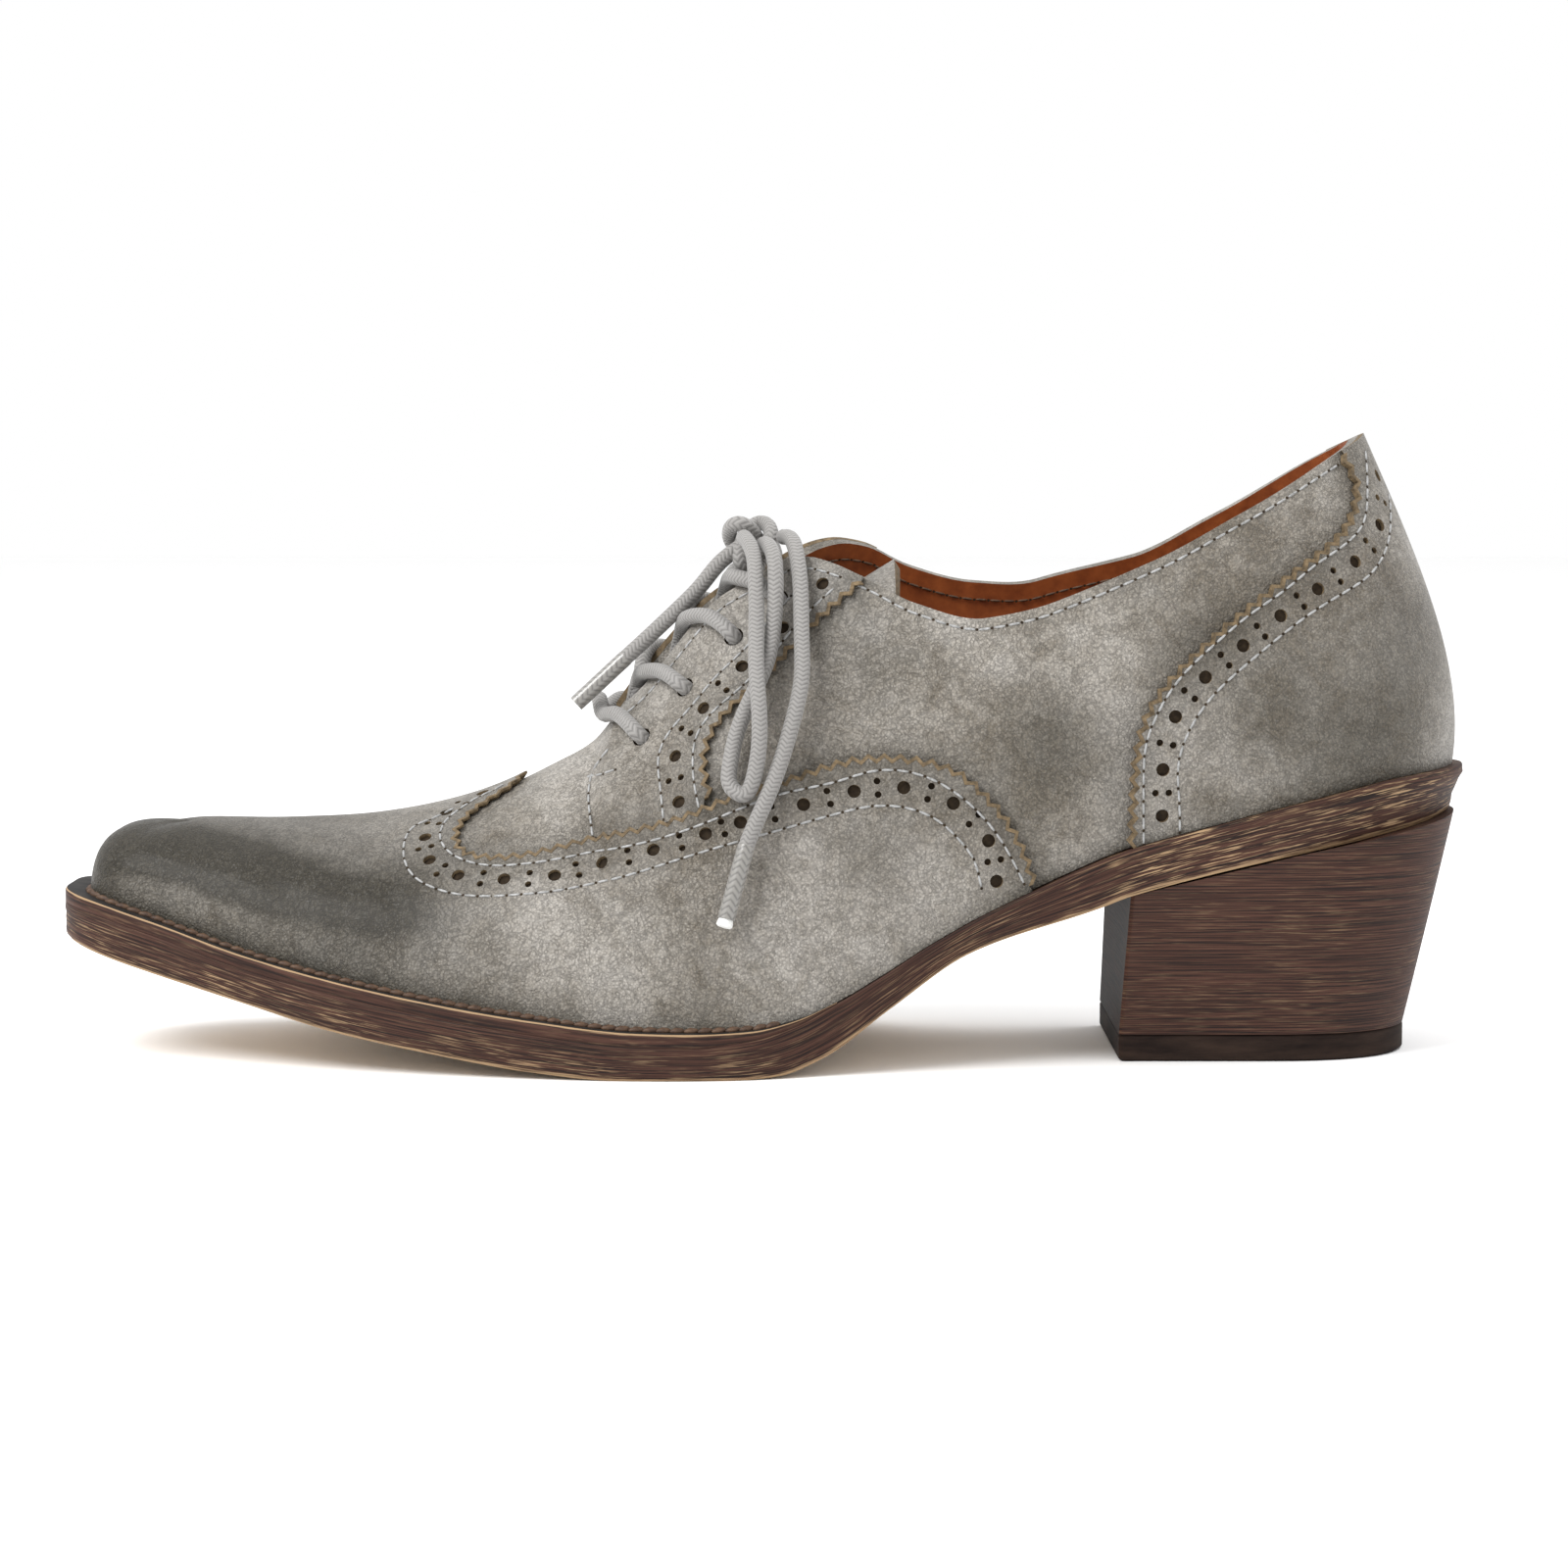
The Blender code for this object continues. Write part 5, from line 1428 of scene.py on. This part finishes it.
# Welt: a dark strip whose outer edge is finished like the sole's
def weltStrip():
    places = solePlaces[solePlaces < weltEnd]
    reach = soleExtension(places) * steady(column(weltRows, 0), column(weltRows, 1), places)
    inner = -sole["weltInnerReach"]
    section = (
        # reach beyond the feather line, level, slot of the face after it, wear
        (inner, 0.0, 0, 0.0), (-0.0002, 0.0, 0, 0.0), (reach - 0.0012, 0.0, 1, 0.0),
        (reach - 0.0001, 0.0, 1, 0.0), (reach, 0.06, 1, 0.0), (reach, 0.78, 1, 0.25),
        (reach - 0.0003, 0.96, 0, 0.9), (reach - 0.0008, 1.0, 0, 0.0),
        (reach * 0.5, 0.98, 0, 0.0), (0.0004, 0.95, 0, 0.0), (inner, 0.95, 0, 0.0),
    )
    size = len(section)
    order = [("inner", i) for i in reversed(range(len(places)))]
    order += [("outer", i) for i in range(1, len(places))]
    points = []
    for side, i in order:
        for distance, level, _, _ in section:
            distance = np.broadcast_to(distance, len(places))[i]
            x, y = offsetLine(places[i:i + 1], side, distance)
            low, high = soleTop(x)[0] - 0.00004, featherHeight(x)[0] - 0.00005
            points.append((x[0], y[0] if i else 0.0, low + (high - low) * level))
    faces, run = ringFaces(len(order), size), pathAlong(points[4::size])
    faceSlots = [slot for _, _, slot, _ in section] * (len(order) - 1) + [0, 0]
    uvs = [(run[v // size], v % size * 0.0008) for face in faces[:-2] for v in face]
    uvs += [(0.0, 0.0)] * (2 * size)
    item = meshObject("weltStrip", points, faces, ("welt", "soleEdge"), faceSlots, uvs,
                      [rub for _, _, _, rub in section] * len(order), 0.0)
    smoothByAngle(item, 50.0)
    return item


finishPiece(paintRub(weltStrip()), "welt_leather", "welt")

braid = {
    "pitch": 0.0026, "length": 0.0037, "radius": 0.00072, "offset": 0.0011, "slant": 24.0,
    "sink": 0.15, "start": 0.3, "end": 0.508, "sides": 8,
    # place along a strand, share of its radius
    "profile": ((-1.0, 0.12), (-0.8, 0.62), (-0.35, 1.0), (0.35, 1.0), (0.8, 0.62),
                (1.0, 0.12)),
}


# Braided seam in the corner of welt and upper: slanted strands that overlap
def weltBraid():
    places = solePlaces[solePlaces < braid["end"]]
    radius, disc, points, faces = braid["radius"], circle(braid["sides"]), [], []
    for side in ("outer", "inner"):
        x, y = offsetLine(places, side, braid["offset"])
        line = np.stack([x, y, featherHeight(x)], -1)
        path = pathAlong(line)
        slant = -sideSign(side) * math.radians(braid["slant"])
        for here in np.arange(braid["start"] * braid["pitch"], path[-1], braid["pitch"]):
            p, q = (lineAt(here + step, path, line) for step in (-0.0005, 0.0005))
            t = unit(q - p)
            up = np.cross(t, np.cross((0.0, 0.0, 1.0), t))
            b = np.cross(up, t)
            t, b = (math.cos(slant) * t + math.sin(slant) * b,
                    math.cos(slant) * b - math.sin(slant) * t)
            centre = (p + q) / 2 + up * radius * braid["sink"]
            faces += ringFaces(len(braid["profile"]), braid["sides"], len(points))
            for reach, size in braid["profile"]:
                points += list(centre + t * reach * braid["length"] / 2
                               + radius * size * (disc @ np.stack([b, up])))
    item = meshObject("weltBraid", points, faces, ("weltThread",), merge=0.0000001)
    smoothByAngle(item, 60.0)
    return item


finishPiece(weltBraid(), "welt_leather")


def insolePlate():
    inset, top = -(upper["wall"] + 2 * lace["clearance"]), sole["insole"]
    # reach, height over the feather line
    profile = ((inset - 0.0012, top), (inset - 0.0004, top - 0.0003), (inset, top - 0.0010),
               (inset, 0.0001))
    rings = [planRing(solePlaces, reach, lambda x, rise=rise: featherHeight(x) + rise)
             for reach, rise in profile]
    return ringPlate("insoleSock", rings, ("lining",), (0, 0), (0.0, 0.001, 0.002, 0.004))


finishPiece(insolePlate(), "lining_leather", "insole")
print("sole, welt and insole made")


# Heel: a block with a slightly hollow breast and a round back
def heelOutline(level, angle):
    breastX = atShare(heel["breastShare"]) + heel["breastLean"] * level
    topBack = atShare(1.0) + sole["seat"] - heel["inset"]
    lowBack = atShare(heel["breastShare"]) + heel["liftLength"]
    backX = lowBack + (topBack - lowBack) * level
    seatHalf = heel["seatHalfShare"] * last["ballWidth"] + sole["seat"] - heel["inset"]
    half = heel["liftWidth"] / 2 + (seatHalf - heel["liftWidth"] / 2) * level
    straight = breastX + heel["straightShare"] * (backX - breastX)
    x = straight + (backX - straight) * math.cos(angle) ** heel["roundness"][0]
    return breastX, x, half * math.sin(angle) ** heel["roundness"][1], half


def heelRing(level, inset=0.0):
    breastX, _, _, half = heelOutline(level, math.pi / 2)
    corner = heel["corner"]
    ring = [(breastX + heel["hollow"] * (1 - t * t) * level + inset,
             t * (half - corner - inset)) for t in np.linspace(-1.0, 1.0, 17)]
    ring.append((breastX + corner, half - inset))
    for angle in np.linspace(math.pi / 2, -math.pi / 2, 61):
        _, x, y, _ = heelOutline(level, abs(angle))
        ring.append((x - inset * math.cos(angle),
                     math.copysign(abs(y) - inset * abs(math.sin(angle)), angle)))
    return ring + [(breastX + corner, inset - half)]


def heelBlock(name, levels, low, high, slots):
    rings = [[(x, y, low(x) + share * (high(x) - low(x))) for x, y in heelRing(level, inset)]
             for level, share, inset in levels]
    size = len(rings[0])
    points = [p for ring in rings for p in ring]
    faces, uvs = ringFaces(len(rings), size), []
    around = pathAlong([p[:2] for p in rings[0]])
    around = np.append(around, around[-1] + 0.001)
    for a, b, d, c in faces[:-2]:
        u, w = around[a % size], around[a % size + 1]
        uvs += [(u, points[a][2]), (w, points[b][2]), (w, points[d][2]), (u, points[c][2])]
    uvs += [points[v][:2] for face in faces[-2:] for v in face]
    item = meshObject(name, points, faces, slots, uvs=uvs, merge=0.0)
    # Faces that look towards the toe take the last slot: on the heel, the darker copy that paints
    # shade on the breast
    for polygon in item.data.polygons:
        polygon.material_index = len(slots) - 1 if polygon.normal.x < -0.8 else 0
    smoothByAngle(item, 35.0)
    return paintRub(item)


def underSeat(x):
    return float(treadHeight(x)) - 0.0001


heelLevels = [(i / 24, i / 24, 0.0) for i in range(25)]
block = heelBlock("heelBlock", heelLevels, lambda x: heel["lift"] + 0.0001, underSeat,
                  ("heelGrain", "heelBreastShaded"))
finishPiece(block, "heel_stack", "heel")
liftLevels = [(0.0, 0.0, 0.0007), (0.0, 0.10, 0.0), (0.0, 0.90, 0.0), (0.0, 1.0, 0.0004)]
lift = heelBlock("heelLift", liftLevels, lambda x: 0.0, lambda x: heel["lift"], ("lift",))
finishPiece(lift, "lift_rubber", "top_lift")
print("heel made")


# Tongue: an arched sheet under the facings
def tongueSheet():
    shares = np.linspace(tongueRows[0][0], tongueRows[-1][0], 64)
    knots = column(tongueRows, 0)
    height, droop, half = (flowing(knots, column(tongueRows, i), shares) for i in (1, 2, 3))
    x = atShare(shares)
    across = np.linspace(-1.0, 1.0, 41)
    middle = featherHeight(x) + last["quarterHeight"] * height
    points = [(x[i], last["ballWidth"] * half[i] * s,
               middle[i] - last["quarterHeight"] * droop[i] * s ** 2)
              for i in range(len(shares)) for s in across]
    item = meshObject("tongueSheet", points, gridQuads(len(shares), len(across)).tolist(),
                      ("leather", "lining", "rawEdge"))
    addWall(item, upper["tongue"], -1.0, 1, 2)
    applyModifiers(item)
    paintBurnishAndShade(item)
    smoothByAngle(item, 50.0)
    return item


finishPiece(tongueSheet(), "upper_leather", "tongue")
print("tongue made")


# Laces over the facings: a bar at the front eyelets, then crossing runs
crossing = {
    # heights over the upper's face at the eyelet, then shares of the way to the facing's edge
    "eyelet": (-0.0036, -0.0010, upper["overlay"] + 0.6 * laceRadius),
    "shares": (0.30, 0.62, 0.95), "standOff": upper["overlay"] + laceRadius + 0.0001,
    "lift": 0.0017, "under": 0.62, "underDrop": 0.0058, "inside": 0.0048, "edgeStep": 0.012,
}


# Out of the eyelet and up the facing, towards the crossing
def facingHalf(row, side):
    place, up, edgePlace = row[:3]
    point, normal = surfaceFrame(place, up, side)
    line = [point + height * normal for height in crossing["eyelet"]]
    for share in crossing["shares"]:
        point, normal = surfaceFrame(place + (edgePlace - place) * share,
                                     up + (1.0 - up) * share, side)
        line.append(point + crossing["standOff"] * normal)
    return line


def crossingLaces():
    for index, row in enumerate(eyeletRows):
        x = atShare(row[3])
        middle = np.array((x, 0.0, featherHeight(x) + last["quarterHeight"] * row[4]))
        node = "lace_crossing_%d" % (index + 1)
        if index == 0:
            route = (facingHalf(row, "outer") + [middle] + facingHalf(row, "inner")[::-1])
            item = laceTube("laceBar", smoothLine(route, laceSettings["step"]), laceRadius)
            finishPiece(item, "lace_cotton", node)
            continue
        before = eyeletRows[index - 1]
        for side, other, way, nodes in (("outer", "inner", 1.0, (node,)),
                                        ("inner", "outer", -1.0, ())):
            start, startNormal = surfaceFrame(before[0], before[1], other)
            edge = np.array(topLine(before[2] + crossing["edgeStep"], other), float)
            under = edge * crossing["under"] + middle * (1.0 - crossing["under"])
            under[2] = edge[2] - crossing["underDrop"]
            route = facingHalf(row, side)
            route += [middle + (0.0, 0.0, way * crossing["lift"]), under,
                      start - crossing["inside"] * startNormal]
            item = laceTube("laceRun%d%s" % (index + 1, side.capitalize()),
                            smoothLine(route, laceSettings["step"]), laceRadius)
            finishPiece(item, "lace_cotton", *nodes)


crossingLaces()
print("crossing laces made")
